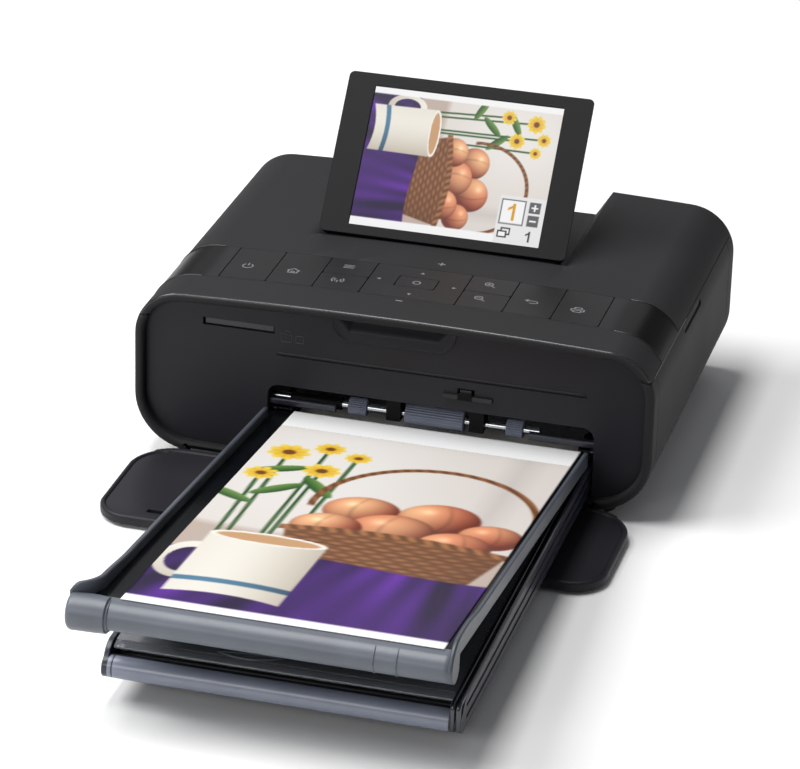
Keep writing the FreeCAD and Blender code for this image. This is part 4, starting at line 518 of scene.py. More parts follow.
picture = {
    "wall": ((222, 212, 205), (240, 236, 231)),
    "cloth": ((30, 6, 58), (98, 38, 160)),
    "basket": ((94, 56, 34), (172, 116, 72)),
    "peach": ((206, 92, 66), (246, 190, 140)),
    "mug": ((196, 186, 170), (246, 241, 230)),
    "petal": ((228, 170, 40), (252, 222, 92)),
    "leaf": ((52, 92, 46), (112, 150, 74)),
    "window": (170, 160, 158),
    "shelf": (196, 178, 166),
    "seeds": (122, 74, 34),
    "mugBand": (84, 132, 164),
    "mugLip": (250, 246, 238),
    "drink": (206, 160, 116),
    "fruits": [  # centre across, centre up, radius, and the side that its crease leans to
        (0.47, 0.93, 0.125, -1),
        (0.72, 0.95, 0.135, 1),
        (0.91, 0.86, 0.105, 1),
        (0.60, 0.80, 0.140, -1),
        (0.82, 0.74, 0.120, 1),
        (0.40, 0.76, 0.115, -1),
    ],
    "flowers": [  # centre across, centre up, size
        (0.10, 1.36, 0.075),
        (0.25, 1.23, 0.066),
        (0.07, 1.14, 0.060),
        (0.22, 1.44, 0.055),
        (0.33, 1.39, 0.048),
    ],
    "leaves": [(0.16, 1.02, 0.8), (0.03, 0.92, -0.5), (0.28, 1.08, -0.9), (0.12, 1.20, 0.5)],
    "basketMiddle": 0.64,
    "mugMiddle": 0.27,
}


# A thing's colour between its two tones, by a share that is worked out at every place.
def toneOf(thing, share):
    dark, light = (np.asarray(tone, float) for tone in picture[thing])
    return dark + np.clip(share, 0, 1)[..., None] * (light - dark)


# A made-up still life over a place grid: across goes 0 to 1, up goes 0 to 1.6. Each thing is a soft-edged outline
# laid over what is behind it, and its colour runs between two tones by how its round surface turns to a light at
# upper left.
def stillLife(across, up):
    glow = np.exp(-((across - 0.25) ** 2 / 0.18 + (up - 1.25) ** 2 / 0.30))
    paint = toneOf("wall", 0.25 + 0.8 * glow)
    # a dim window bar far behind, out of focus, and the shelf's edge behind the cloth
    paint = layOver(paint, 0.35 * inside(np.abs(across - 0.86) - 0.03, 0.10), picture["window"])
    paint = stamp(paint, up - 0.66 + 0.02 * np.sin(across * 5), 0.05, picture["shelf"])
    # stems, leaves and flowers
    for x, y, size in picture["flowers"]:
        stem = np.abs(across - x - 0.18 * (y - up) * (0.3 - x)) - 0.007
        cover = inside(stem, 0.006) * inside(up - y, 0.02) * inside(0.55 - up, 0.02)
        paint = layOver(paint, cover, picture["leaf"][0])
    for x, y, lean in picture["leaves"]:
        u = (across - x) * math.cos(lean) + (up - y) * math.sin(lean)
        v = (up - y) * math.cos(lean) - (across - x) * math.sin(lean)
        paint = stamp(paint, np.hypot(u / 0.10, v / 0.028) - 1, 0.15, toneOf("leaf", 0.5 + v / 0.04))
    for x, y, size in picture["flowers"]:
        angle, reach = np.arctan2(up - y, across - x), np.hypot(across - x, up - y)
        outline = reach - size * (0.72 + 0.28 * np.abs(np.cos(4.5 * angle)))
        paint = stamp(paint, outline, 0.010, toneOf("petal", reach / size * 0.9 + 0.15 * np.cos(9 * angle)))
        paint = stamp(paint, reach - 0.3 * size, 0.008, picture["seeds"])
    # the basket's handle, a hoop that stops at its rim
    hoop = np.abs(np.hypot((across - 0.66) / 0.36, (up - 0.98) / 0.40) - 1.0) - 0.035
    weave = 0.5 + 0.5 * np.sin(across * 130 + up * 90)
    paint = layOver(paint, inside(hoop, 0.02) * inside(0.92 - up, 0.02), toneOf("basket", 0.25 + 0.5 * weave))
    # peaches: each is a ball with a blush, a crease and a shine
    for x, y, size, side in picture["fruits"]:
        u, v = (across - x) / size, (up - y) / size
        reach = np.hypot(u, v)
        depth = np.sqrt(np.clip(1 - reach**2, 0, 1))
        light = np.clip(-0.45 * u + 0.5 * v + 0.74 * depth, 0, 1)
        blush = np.clip(0.5 + 0.5 * np.sin(2.2 * u * side + 1.3 * v + x * 9), 0, 1)
        tone = toneOf("peach", 0.25 + 0.75 * light - 0.35 * blush) * (0.55 + 0.5 * light[..., None])
        crease = np.exp(-((u - 0.25 * side * (1 - v**2)) ** 2) / 0.004)
        shine = np.exp(-((u + 0.35) ** 2 + (v - 0.42) ** 2) / 0.03)
        tone = tone * (1 - 0.16 * (crease * depth)[..., None]) + 42 * shine[..., None]
        paint = stamp(paint, (reach - 1) * size, 0.010, tone)
    # the basket's front: staves crossed by woven cane, rounder to its sides, under a rim that sags
    aside = across - picture["basketMiddle"]
    side = 0.36 - 0.10 * np.clip((0.72 - up) / 0.42, 0, 1)
    sag = 0.05 * np.cos(aside * 4)
    front = np.maximum(np.maximum(np.abs(aside) - side, up - 0.70 - sag), 0.30 - up)
    row, column = up * 34, aside / side * 9
    over = np.sin(np.pi * column + np.pi * np.floor(row))
    cane = np.abs(np.sin(np.pi * row)) ** 0.5
    bulge = np.sqrt(np.clip(1 - ((across - 0.56) / (side * 1.25)) ** 2, 0, 1))
    light = (0.35 + 0.5 * (0.5 + 0.5 * over)) * cane * (0.45 + 0.6 * bulge)
    paint = stamp(paint, front, 0.012, toneOf("basket", light))
    rim = boxOutline(aside, up - 0.705 - sag, 0.375, 0.020)
    paint = stamp(paint, rim, 0.010, toneOf("basket", 0.6 + 0.4 * np.sin(across * 120 + up * 60)))
    # the cloth in front: folds that fan out from the upper right
    edge = up - 0.46 - 0.05 * np.sin(across * 4.4 + 0.4) - 0.10 * (across - 0.5)
    fan = np.arctan2(up - 1.30, across - 0.85)
    fold = np.sin(fan * 21 + 2.2 * np.sin(across * 5) + up * 3) * 0.6 + 0.4 * np.sin(fan * 47 + across * 9)
    shade = 0.46 + 0.62 * fold * (0.6 + 0.4 * np.sin(across * 7 + up * 5))
    paint = stamp(paint, edge, 0.014, toneOf("cloth", shade))
    # the mug, with its handle, standing on the cloth at lower left
    handle = np.abs(np.hypot((across - 0.085) / 0.085, (up - 0.33) / 0.13) - 1.0) - 0.20
    paint = stamp(paint, handle, 0.06, toneOf("mug", 0.35 + 0.5 * (up - 0.2) / 0.2))
    aside = across - picture["mugMiddle"]
    turn = aside / 0.19
    foot = 0.10 - up + 0.10 * (aside / 0.185) ** 2 * -0.3
    body = np.maximum(np.abs(aside) - 0.185 - 0.01 * (up - 0.1), np.maximum(up - 0.58, foot))
    light = np.clip(0.95 - 0.55 * np.clip(turn + 0.35, 0, 2) ** 1.6 - 0.25 * np.clip(-turn - 0.55, 0, 1), 0, 1)
    band = np.asarray(picture["mugBand"]) * (0.6 + 0.4 * light[..., None])
    tone = stamp(toneOf("mug", light), np.abs(up - 0.20 + 0.02 * turn**2) - 0.018, 0.008, band)
    paint = stamp(paint, body, 0.008, tone)
    paint = stamp(paint, np.hypot(aside / 0.19, (up - 0.58) / 0.045) - 1, 0.06, picture["mugLip"])
    paint = stamp(paint, np.hypot(aside / 0.168, (up - 0.578) / 0.034) - 1, 0.10, picture["drink"])
    return np.clip(paint, 0, 255)


def paintMesh(piece, colours):
    linear = toLinear(np.clip(colours.reshape(-1, 3), 0, 255) / 255.0)
    layer = piece.data.color_attributes.new("picture", "FLOAT_COLOR", "POINT")
    layer.data.foreach_set("color", np.hstack([linear, np.ones((len(linear), 1))]).astype(np.float32).ravel())


# Shares of the way across and along a sheet, at places that are about one cell apart.
def cellGrid(width, length, cell):
    return np.meshgrid(np.linspace(0, 1, int(width / cell) + 1), np.linspace(0, 1, int(length / cell) + 1))


printSheet = {
    "left": -34.8,
    "width": 100.0,
    "back": 6.2,
    "front": -175.2,
    "rise": 6.0,  # degrees that it slopes up towards its front end
    "underside": 21.0,
    "hinge": 7.0,  # where the underside has that height
    "thickness": 0.25,
    "free": 0.02,  # of its thickness, left free under it
    "wave": 0.05,
    "backStrip": 15.5,
    "frontStrip": 5.0,
    "bare": (226, 226, 226),
    "perforation": (140, 140, 142),
    "tone": 0.88,
    "cell": 0.62,
}


# The height of the print's underside, which the lid's plate follows.
def slopeUnder(y):
    return printSheet["underside"] + (printSheet["hinge"] - y) * math.tan(math.radians(printSheet["rise"]))


# The print's face: a sloping plane over (across, along), with a long soft wave in its height so that it lies as
# paper does. Its strips are bare white beyond a row of perforations, and the picture is between them.
def makePrint(spec):
    length = spec["back"] - spec["front"]
    share, along = cellGrid(spec["width"], length, spec["cell"])
    x, y = spec["left"] + share * spec["width"], spec["front"] + along * length
    wave = spec["wave"] * np.sin(np.pi * share) * np.sin(np.pi * along)
    piece = gridMesh("printedSheet", pointsAt(x, y, slopeUnder(y) + spec["thickness"] + wave))
    low, high = spec["front"] + spec["frontStrip"], spec["back"] - spec["backStrip"]
    colours = stillLife(share, (y - low) / (high - low) * 1.6) * spec["tone"]
    colours = stamp(colours, np.minimum(y - low, high - y), 0.4, spec["bare"])
    dashes = inside(np.abs(y - high) - 0.25, 0.5) * (np.sin(x * 4.2) > -0.2)
    paintMesh(piece, layOver(colours, 0.35 * dashes, spec["perforation"]))
    paper = piece.modifiers.new("paper", "SOLIDIFY")
    paper.thickness, paper.offset = (spec["thickness"] - spec["free"]) * mm, -1.0
    dress(piece, "overcoatedDyePrint", "outer_lid", "paper")
    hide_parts("printed_sheet")


makePrint(printSheet)
print("print made")


screen = {
    "axisY": 65.5,
    "axisZ": 57.6,
    "tilt": 51.2,
    "faceRise": 5.6,
    "sink": 0.4,
    "film": 0.03,
    "halfWidth": 33.95,
    "start": 7.8,
    "length": 50.9,
    "cell": 0.25,
    "bars": (3.0, 2.3),  # the pale bars at the bottom and the top
    "margin": 5.4,  # what the picture leaves of the length
    # the small panel's parts, from the display's lower left corner
    "panelCorner": (51.5, 17.4),  # its left edge and its top
    "countFrame": (56.6, 11.6, 4.4, 4.6),  # centre and half sizes
    "buttons": ((64.2, 13.9, True), (64.2, 9.1, False)),  # centre, and whether it is the plus
    "buttonHalf": 2.0,
    "signHalf": (1.2, 0.3),
    "counts": ((56.6, 11.6, 3.1, "amber"), (63.6, 3.4, 1.9, "dark")),  # centre, half height, colour
    "sheets": ((55.3, 4.5), (54.2, 3.4)),  # centres of the one behind and the one in front
    "sheetHalf": (1.7, 1.3),
    "border": 0.5,
    "white": (250, 250, 250),
    "pale": (236, 236, 236),
    "frame": (120, 120, 122),
    "button": (96, 97, 100),
    "dark": (40, 40, 44),
    "amber": (222, 158, 32),
    "barrelHalf": 41.4,
    "barrelRadius": 5.45,
    "barrelArc": (-78.0, 42.0),  # degrees from upright, towards the front
    "barrelWall": 0.7,
}


# A place on the tilted screen: across is X, along goes up the face from the hinge, lift is out of the face.
def onScreen(across, along, lift):
    tilt = math.radians(screen["tilt"])
    out = screen["faceRise"] + lift
    y = screen["axisY"] + along * math.cos(tilt) - out * math.sin(tilt)
    return pointsAt(across, y, screen["axisZ"] + along * math.sin(tilt) + out * math.cos(tilt))


# The display's lit area: the print's picture turned a quarter, a pale bar along its top and its bottom, and at
# lower right a small panel with a framed count, plus and minus squares and a plain count below.
def makeDisplayPicture(spec):
    share, along = cellGrid(2 * spec["halfWidth"], spec["length"], spec["cell"])
    x, v = spec["halfWidth"] * (2 * share - 1), along * spec["length"]
    w = x + spec["halfWidth"]
    low, high = spec["bars"]
    piece = gridMesh("displayPicture", onScreen(x, spec["start"] + v, -spec["sink"] + spec["film"]))
    colours = stillLife(1 - (v - low) / (spec["length"] - spec["margin"]), 0.05 + 1.5 * share)
    colours = stamp(colours, np.minimum(v - low, spec["length"] - high - v), 0.3, spec["white"])
    left, top = spec["panelCorner"]
    colours = stamp(colours, np.maximum(left - w, v - top), 0.3, spec["pale"])
    acrossMiddle, alongMiddle, halfW, halfV = spec["countFrame"]
    framed = [(boxOutline(w - acrossMiddle, v - alongMiddle, halfW, halfV), spec["frame"])]
    for acrossMiddle, alongMiddle in spec["sheets"]:
        framed.append((boxOutline(w - acrossMiddle, v - alongMiddle, *spec["sheetHalf"]), spec["dark"]))
    for box, edge in framed:
        colours = stamp(colours, box, 0.2, edge)
        colours = stamp(colours, box + spec["border"], 0.2, spec["white"])
    for acrossMiddle, alongMiddle, plus in spec["buttons"]:
        u, t, half = w - acrossMiddle, v - alongMiddle, spec["buttonHalf"]
        colours = stamp(colours, boxOutline(u, t, half, half), 0.2, spec["button"])
        sign, upright = boxOutline(u, t, *spec["signHalf"]), boxOutline(t, u, *spec["signHalf"])
        colours = stamp(colours, np.minimum(sign, upright) if plus else sign, 0.2, spec["white"])
    # each count is a one: a stem, and a flag that leans down from its top
    for acrossMiddle, alongMiddle, size, tone in spec["counts"]:
        u, t = w - acrossMiddle, v - alongMiddle
        stem = boxOutline(u - 0.12 * size, t, 0.16 * size, size)
        flag = np.abs(u * 0.6 - (t - 0.62 * size)) - 0.16 * size
        flag = np.maximum(flag, np.maximum(u - 0.1 * size, -0.55 * size - u))
        colours = stamp(colours, np.minimum(stem, flag), 0.25, spec[tone])
    paintMesh(piece, colours)
    dress(piece, "litDisplayUnderFilm", "screen_unit", "display")


# The barrel that closes the gap under the screen's lower edge: an arc about the hinge line, carried along X.
def makeHingeBarrel(spec):
    half, radius = spec["barrelHalf"], spec["barrelRadius"]
    x, angle = np.meshgrid(np.linspace(-half, half, 60), np.radians(np.linspace(*spec["barrelArc"], 32)))
    arch = pointsAt(x, spec["axisY"] - radius * np.sin(angle), spec["axisZ"] + radius * np.cos(angle))
    where = ("satinAbsScreenHousing", "screen_unit", "screen_housing")
    makePiece("screenHingeBarrel", where, arch[::-1], wall=spec["barrelWall"])


makeDisplayPicture(screen)
makeHingeBarrel(screen)
print("display made")


shell = {
    "rimRound": 1.35,
    "doorRound": 1.0,
    "segments": 4,
    "merge": 0.003,
    "joined": 0.05,  # degrees between triangles that are joined
    "sharp": 30.0,  # degrees from which an edge is rounded
    "topFacing": 0.995,  # least part of a normal that points up, on the top
    "flatFacing": (0.99, 0.9999),  # least part of a normal along Y or along Z, on a flat face
    "frontPlane": 0.02,
    "doorHinge": (-4.0, 4.3),  # the door's outline is in front of and above these
    "halfWidth": 90.3,
    "crown": 1930.0,  # radius
    "crownCuts": (-72.0, 73.0, 4.0),  # from, to and step
    "crownLift": 0.25,  # the most that a point is lifted
    "corner": 16.7,
    "top": 63.2,
    "seam": 52.4,  # the beads follow the outline down to here
    "seamMiddle": 52.2,  # the two halves of the case meet within a short reach of this height
    "seamReach": 0.3,
    "stripEdges": (17.35, 44.65),
    "stripBeadFrom": 70.5,
    "stripBeadRadius": 0.22,
    "sideBead": (88.72, 52.15, 4.0, 57.0, 0.18),  # x, z, front and back end, radius
    "beadInset": 0.72,
    "beadY": 0.72,
    "beadRadius": 0.6,
}


# The height of the case's top, which falls by the square of how far a place is from the middle.
def crownAt(x):
    return shell["top"] - x**2 / (2 * shell["crown"])


def atFrontPlane(points):
    return points[:, 1] < shell["frontPlane"]


def onDoorOutline(points):
    y, z = shell["doorHinge"]
    return (points[:, 1] < y) & (points[:, 2] > z)


# One property of all vertices or edges, a row for each.
def readArray(items, name, width, kind):
    values = np.empty(len(items) * width, kind)
    items.foreach_get(name, values)
    return values.reshape(-1, width)


# The same shape as a CAD node, with some of its sharp edges rounded: the copy's triangles are merged, those of
# a flat face are joined, and a Bevel modifier works by weight, on the sharp edges whose ends pass the test. Edges
# that lie level at the case's seam stay sharp, because the two halves meet there. A crowned copy is cut at every
# 4 mm across, and the points of its top are lifted onto the crown's arc, which the CAD mesh follows in wide flats.
def softenedCopy(node, name, chosen, width, where, crowned=False):
    mesh = frame["nodes"][node].data.copy()
    mesh.name = name
    work = bmesh.new()
    work.from_mesh(mesh)
    bmesh.ops.remove_doubles(work, verts=work.verts, dist=shell["merge"] * mm)
    joined, sharp = math.radians(shell["joined"]), math.radians(shell["sharp"])
    bmesh.ops.dissolve_limit(work, angle_limit=joined, verts=work.verts, edges=work.edges)
    for x in np.arange(*shell["crownCuts"]) if crowned else ():
        everything = work.verts[:] + work.edges[:] + work.faces[:]
        bmesh.ops.bisect_plane(work, geom=everything, plane_co=(x * mm, 0, 0), plane_no=(1, 0, 0))
    for vert in {v for face in work.faces if crowned and face.normal.z > shell["topFacing"] for v in face.verts}:
        height = crownAt(vert.co.x / mm) * mm
        vert.co.z = height if height - shell["crownLift"] * mm < vert.co.z < height else vert.co.z
    many, (alongY, alongZ) = [face for face in work.faces if len(face.verts) > 4], shell["flatFacing"]
    flat = [face for face in many if abs(face.normal.y) > alongY or abs(face.normal.z) > alongZ]
    bmesh.ops.triangulate(work, faces=flat)
    work.to_mesh(mesh)
    work.edges.ensure_lookup_table()
    bend = np.array([edge.calc_face_angle(0.0) for edge in work.edges])
    work.free()
    place = readArray(mesh.vertices, "co", 3, float) / mm - (0.0, shiftY, 0.0)
    ends = readArray(mesh.edges, "vertices", 2, int)
    atSeam = np.abs(place[ends, 2] - shell["seamMiddle"]).max(axis=1) < shell["seamReach"]
    picked = chosen(place[ends[:, 0]]) & chosen(place[ends[:, 1]]) & (bend > sharp) & ~atSeam
    mesh.attributes.new("bevel_weight_edge", "FLOAT", "EDGE").data.foreach_set("value", picked.astype(np.float32))
    mesh.polygons.foreach_set("use_smooth", np.ones(len(mesh.polygons), bool))
    mesh.set_sharp_from_angle(angle=sharp)
    mesh.materials.clear()
    piece = addObject(name, mesh)
    bevel = piece.modifiers.new("roundedEdges", "BEVEL")
    bevel.limit_method, bevel.use_clamp_overlap = "WEIGHT", False
    bevel.width, bevel.segments = width * mm, shell["segments"]
    piece.modifiers.new("evenNormals", "WEIGHTED_NORMAL").keep_sharp = True
    dress(piece, *where)
    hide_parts(node)


# The right half of the body's outline, moved inwards by a fixed distance, as points (x, z) from the middle of the
# top to the seam: a crown of large radius, then the part above the seam of a round corner that meets it smoothly.
def halfOutline(spec, move):
    side, big, corner = spec["halfWidth"] - move, spec["crown"] - move, spec["corner"] - move
    crownZ, cornerX = spec["top"] - move - big, side - corner
    cornerZ = crownZ + math.sqrt((big - corner) ** 2 - cornerX**2)
    lean = math.asin(cornerX / (big - corner))
    x = np.linspace(0, big * math.sin(lean), 60)
    turn = np.linspace(math.pi / 2 - lean, math.asin((spec["seam"] - cornerZ) / corner), 26)[1:]
    crown = np.stack([x, crownZ + np.sqrt(big**2 - x**2)], axis=-1)
    bend = np.stack([cornerX + corner * np.cos(turn), cornerZ + corner * np.sin(turn)], axis=-1)
    return np.concatenate([crown, bend])


# Beads that draw thin bright lines: round bars along the front rim's top, along the strip's edges where it goes
# down the sides, and along the seam on the right as far as the ribbon door's notch.
def makeBeads(spec):
    where, upright = ("polishedAbsRim", "root", "body_shell"), (0, 1, 0)
    half = halfOutline(spec, spec["beadInset"])
    x, z = np.concatenate([half[:0:-1] * (-1, 1), half]).T
    makeTubes("frontRimBead", where, barAlong(pointsAt(x, spec["beadY"], z), spec["beadRadius"], 14, upright))
    half = halfOutline(spec, 0.0)
    x, z = half[half[:, 0] > spec["stripBeadFrom"]].T
    paths = [pointsAt(x * side, y, z) for side in (-1, 1) for y in spec["stripEdges"]]
    bars = [barAlong(path, spec["stripBeadRadius"], 8, upright) for path in paths]
    x, z, front, back, radius = spec["sideBead"]
    bars.append(barAlong(np.linspace((x, front, z), (x, back, z), 24), radius, 8))
    makeTubes("stripAndSeamBeads", where, *bars)


caseDress = ("sparkErodedAbsShell", "root", "body_shell")
panelDress = ("satinAbsFrontPanel", "root", "front_panel")
doorDress = ("satinAbsFrontPanel", "front_door", "front_panel")
softenedCopy("top_cover", "topCover", atFrontPlane, shell["rimRound"], caseDress, crowned=True)
softenedCopy("lower_case", "lowerCase", atFrontPlane, shell["rimRound"], caseDress)
softenedCopy("front_door", "frontDoor", onDoorOutline, shell["doorRound"], doorDress)
makeBeads(shell)
print("shell made")


panel = {
    "faceY": 3.4,
    "scoopHalf": 21.7,
    "scoopBottomHalf": 20.4,
    "scoopTop": 60.4,
    "scoopBottom": 51.7,
    "scoopRound": 5.2,
    "scoopDeep": 2.6,
    "scoopSettle": 2.4,
    "scoopSlope": 4.5,
    "settleGap": 0.06,  # between the settled sheet and the panel's face
    "lipRise": 0.4,
    "lipSink": 0.15,
    "lipRadius": 0.26,
    "openBottomHalf": 15.3,  # the opening in the panel behind it
    "openBottom": 54.2,
    "openLean": 0.87,
    "thin": 0.3,
    "ledge": ((-40.2, 43.45), (66.4, 43.45)),
    "ledgeRadius": 0.42,
    "ledgeSink": 0.1,
    "shutter": (-66.6, -41.7, 50.45, 52.9),  # left, right, low and high
    "shutterBack": 0.75,
    "shutterLean": 0.5,
    "shutterBow": 0.12,
    # a black sheet in the latch's hollow: painted shade
    "latchPaintedShade": (22.9, 27.8, 35.8, 38.3),  # left, right, low and high
    "latchFront": 2.3,
    "latchDeep": 0.05,
    "latchWall": 0.2,
    "markRadius": 0.14,
    "markRise": 0.02,
    "markRound": 0.3,
    "markStrokes": [  # a card with one corner cut, its contacts, and a square with a line in it
        [(-39.0, 47.9), (-35.4, 47.9), (-35.4, 52.0), (-38.0, 52.0), (-39.0, 51.0), (-39.0, 47.9)],
        [(-37.6, 50.4), (-37.6, 51.3)],
        [(-36.8, 50.4), (-36.8, 51.3)],
        [(-36.0, 50.4), (-36.0, 51.3)],
        [(-33.9, 48.0), (-31.2, 48.0), (-31.2, 50.6), (-33.9, 50.6), (-33.9, 48.0)],
        [(-33.2, 49.3), (-31.9, 49.3)],
    ],
}


# The finger scoop: a sheet that starts on a raised lip, sinks to the panel's face over a short way, and goes on to
# sink where the panel is open behind it, by a smooth step of how far inside that opening a place is. The outline is
# a pocket with nearly upright sides and rounded lower corners. Its lip is a thin bar along that outline.
def makeScoop(spec):
    share, rise = np.meshgrid(np.linspace(-1, 1, 161), np.linspace(0, 1, 61))
    height, corner = spec["scoopTop"] - spec["scoopBottom"], spec["scoopRound"]
    low = np.clip(corner - rise * height, 0, corner)
    half = spec["scoopBottomHalf"] + rise * (spec["scoopHalf"] - spec["scoopBottomHalf"])
    half = half - corner + np.sqrt(corner**2 - low**2)
    x, z = share * half, spec["scoopBottom"] + rise * height
    settle = np.clip(np.minimum(half - np.abs(x), rise * height) / spec["scoopSettle"], 0, 1)
    openHalf = spec["openBottomHalf"] + (z - spec["openBottom"]) * spec["openLean"]
    within = smoothStep(np.minimum(openHalf - np.abs(x), z - spec["openBottom"]) / spec["scoopSlope"])
    lip = spec["faceY"] - spec["lipRise"]
    y = lip + (spec["lipRise"] - spec["settleGap"]) * np.sin(settle * np.pi / 2) + spec["scoopDeep"] * within
    makePiece("fingerScoop", panelDress, pointsAt(x, y, z), wall=spec["thin"])
    left = pointsAt(-half[::2, 0], lip + spec["lipSink"], z[::2, 0])[::-1]
    path = np.concatenate([left, left[::-1] * (-1.0, 1.0, 1.0)])
    makeTubes("fingerScoopLip", panelDress, barAlong(path, spec["lipRadius"], 10, (0, 1, 0)))


# The ledge above the groove, the tinted shutter that leans back in the card slot, a black sheet in the latch's
# hollow that is painted shade for the hollow's darkness, and the mark beside the card slot. The sheet's depth is
# the product, over both directions, of one less the fourth power of how far out a place is.
def makePanelTrim(spec):
    face, black = spec["faceY"], "black_plastic"
    path = np.linspace(*[(x, face + spec["ledgeSink"], z) for x, z in spec["ledge"]], 24)
    makeTubes("panelLedge", panelDress, barAlong(path, spec["ledgeRadius"], 12))
    left, right, low, high = spec["shutter"]
    x, rise = np.meshgrid(np.linspace(left, right, 40), np.linspace(0, 1, 10))
    y = face + spec["shutterBack"] + spec["shutterLean"] * rise + spec["shutterBow"] * np.cos(rise * np.pi)
    sheet = pointsAt(x, y, low + rise * (high - low))
    makePiece("cardSlotShutter", ("tintedAbsShutter", "root", black), sheet, wall=spec["thin"])
    # a black sheet in the latch's hollow: painted shade for the hollow's darkness
    left, right, low, high = spec["latchPaintedShade"]
    u, v = np.meshgrid(np.linspace(-1, 1, 25), np.linspace(-1, 1, 17))
    y = spec["latchFront"] + spec["latchDeep"] * (1 - u**4) * (1 - v**4)
    sheet = pointsAt((left + right) / 2 + u * (right - left) / 2, y, (low + high) / 2 + v * (high - low) / 2)
    makePiece("latchPaintedShade", ("dyedAcetalClips", "root", black), sheet, wall=spec["latchWall"])
    bars = []
    for stroke in spec["markStrokes"]:
        chain = np.array([(x, face - spec["markRise"], z) for x, z in stroke])
        path = roundedPath(chain, spec["markRound"], 4) if len(chain) > 2 else np.linspace(chain[0], chain[-1], 6)
        bars.append(barAlong(path, spec["markRadius"], 8, (0, 1, 0)))
    makeTubes("cardMark", ("tintedAbsShutter", "root", "front_panel"), *bars)


makeScoop(panel)
makePanelTrim(panel)
print("front panel details made")


legend = {"lineWidth": 0.42, "lift": 0.02, "film": 0.03}


# Points along an arc, from and to an angle in degrees.
def arc(x, y, radius, start, end, steps=18):
    angle = np.radians(np.linspace(start, end, steps))
    return np.stack([x + radius * np.cos(angle), y + radius * np.sin(angle)], axis=-1)


# A line of ink: each path point gives two edge points, half a line's width to either side along the path's normal.
# It lies just over the crown of the top.
def inkLine(points, centre, width):
    points = np.asarray(points, float) + centre
    ahead = np.gradient(points, axis=0)
    ahead /= np.maximum(np.linalg.norm(ahead, axis=1, keepdims=True), 1e-9)
    normal = np.stack([-ahead[:, 1], ahead[:, 0]], axis=-1)
    half = np.broadcast_to(np.asarray(width, float) / 2, len(points))[:, None]
    rows = np.stack([points - normal * half, points + normal * half])
    return np.dstack([rows, crownAt(rows[..., 0]) + legend["lift"]])


# A bent line with a short step on both sides of every corner, which keeps its width even where it turns.
def corners(*points):
    chain = np.asarray(points, float)
    steps = np.array([[0.0], [0.03], [0.97]])
    return np.concatenate([a + (b - a) * steps for a, b in zip(chain[:-1], chain[1:])] + [chain[-1:]])


magnifier = [arc(-0.3, 0.3, 1.35, 0, 360, 28), [(0.7, -0.7), (2.1, -1.9)], [(-1.0, 0.3), (0.4, 0.3)]]
sweeps = ((-48, 48), (132, 228))
waves = [arc(0, 0.6, radius, *sweep, steps) for sweep in sweeps for radius, steps in ((1.1, 10), (2.1, 12))]
icons = {  # for each key its icon's name and centre, and the icon's lines from there
    "key_power": ("power", (-59.2, 29.4), [arc(0, 0, 1.75, 125, 415), [(0, 0.5), (0, 2.4)]]),
    "key_home": ("house", (-42.9, 29.2), [
        corners((-2.3, 0.2), (0, 2.0), (2.3, 0.2)),
        corners((-1.6, 0.4), (-1.6, -1.6), (1.6, -1.6), (1.6, 0.4)),
        corners((-0.5, -1.5), (-0.5, -0.3), (0.5, -0.3), (0.5, -1.5)),
    ]),
    "key_menu": ("bars", (-25.6, 38.3), [[(-1.9, y), (1.9, y)] for y in (1.1, 0, -1.1)]),
    "key_wireless": ("waves", (-26.2, 25.4), [[(0, -1.3), (0, 0.6)], *waves]),
    "key_zoom_in": ("magnifierPlus", (24.0, 38.6), magnifier + [[(-0.3, -0.4), (-0.3, 1.0)]]),
    "key_zoom_out": ("magnifierMinus", (23.4, 26.4), magnifier),
    "key_back": ("returnArrow", (40.6, 29.8), [
        np.concatenate([[(-2.1, 0.7)], arc(1.3, -0.2, 0.9, 90, -90, 12), [(-0.6, -1.1)]]),
        corners((-1.1, 1.6), (-2.2, 0.7), (-1.1, -0.2)),
    ]),
    "key_print": ("printer", (56.8, 29.0), [
        corners((-1.3, -0.9), (-2.2, -0.9), (-2.2, 0.7), (2.2, 0.7), (2.2, -0.9), (1.3, -0.9)),
        corners((-1.2, 0.7), (-1.2, 2.0), (1.2, 2.0), (1.2, 0.7)),
        corners((-1.3, -0.3), (-1.3, -1.8), (1.3, -1.8), (1.3, -0.3), (-1.3, -0.3)),
    ]),
    "key_ok": ("ring", (0.0, 31.9), [arc(0, 0, 1.25, 0, 360, 30)]),
}
arrow = (1.5, 0.08)  # width at the base and at the tip
marks = {  # the pad's arrows, and the signs behind and before it, each line with its width
    "direction_pad": ("padArrows", [
        (((12.6, 31.6), (14.0, 31.6)), arrow),
        (((-12.6, 31.6), (-14.0, 31.6)), arrow),
        (((0, 39.6), (0, 41.0)), arrow),
        (((0, 22.4), (0, 21.0)), arrow),
    ]),
    "top_cover": ("countSigns", [
        (((2.7, 50.2), (5.3, 50.2)), 0.5),
        (((4.0, 48.9), (4.0, 51.5)), 0.5),
        (((-2.9, 15.3), (-0.5, 15.3)), 0.6),
    ]),
}


def makeLegend(name, body, lines):
    makePiece(name, ("padPrintedGreyInk", body, "white_plastic"), *lines, wall=legend["film"], smooth=False)


for node, (name, centre, lines) in icons.items():
    makeLegend(name + "Icon", node, [inkLine(line, centre, legend["lineWidth"]) for line in lines])
for node, (name, lines) in marks.items():
    body = node if node in frame["bodies"] else "root"
    makeLegend(name, body, [inkLine(line, (0.0, 0.0), width) for line, width in lines])
print("legends made")


rollers = {
    "y": 10.5,
    "z": 24.4,
    "bore": 1.5,
    "wide": (3.4, 23.8, 3.58),  # left, right, radius
    "small": ((-16.6, -10.2, 3.0), (38.5, 44.3, 3.0)),
    "sleeve": (-37.2, -18.9, 1.95),
    "sleeveRound": 0.3,
    "flutes": 24,
    "fluteDepth": 0.14,
    "grooves": 8,
    "grooveDepth": 0.10,
    "round": 0.35,
}


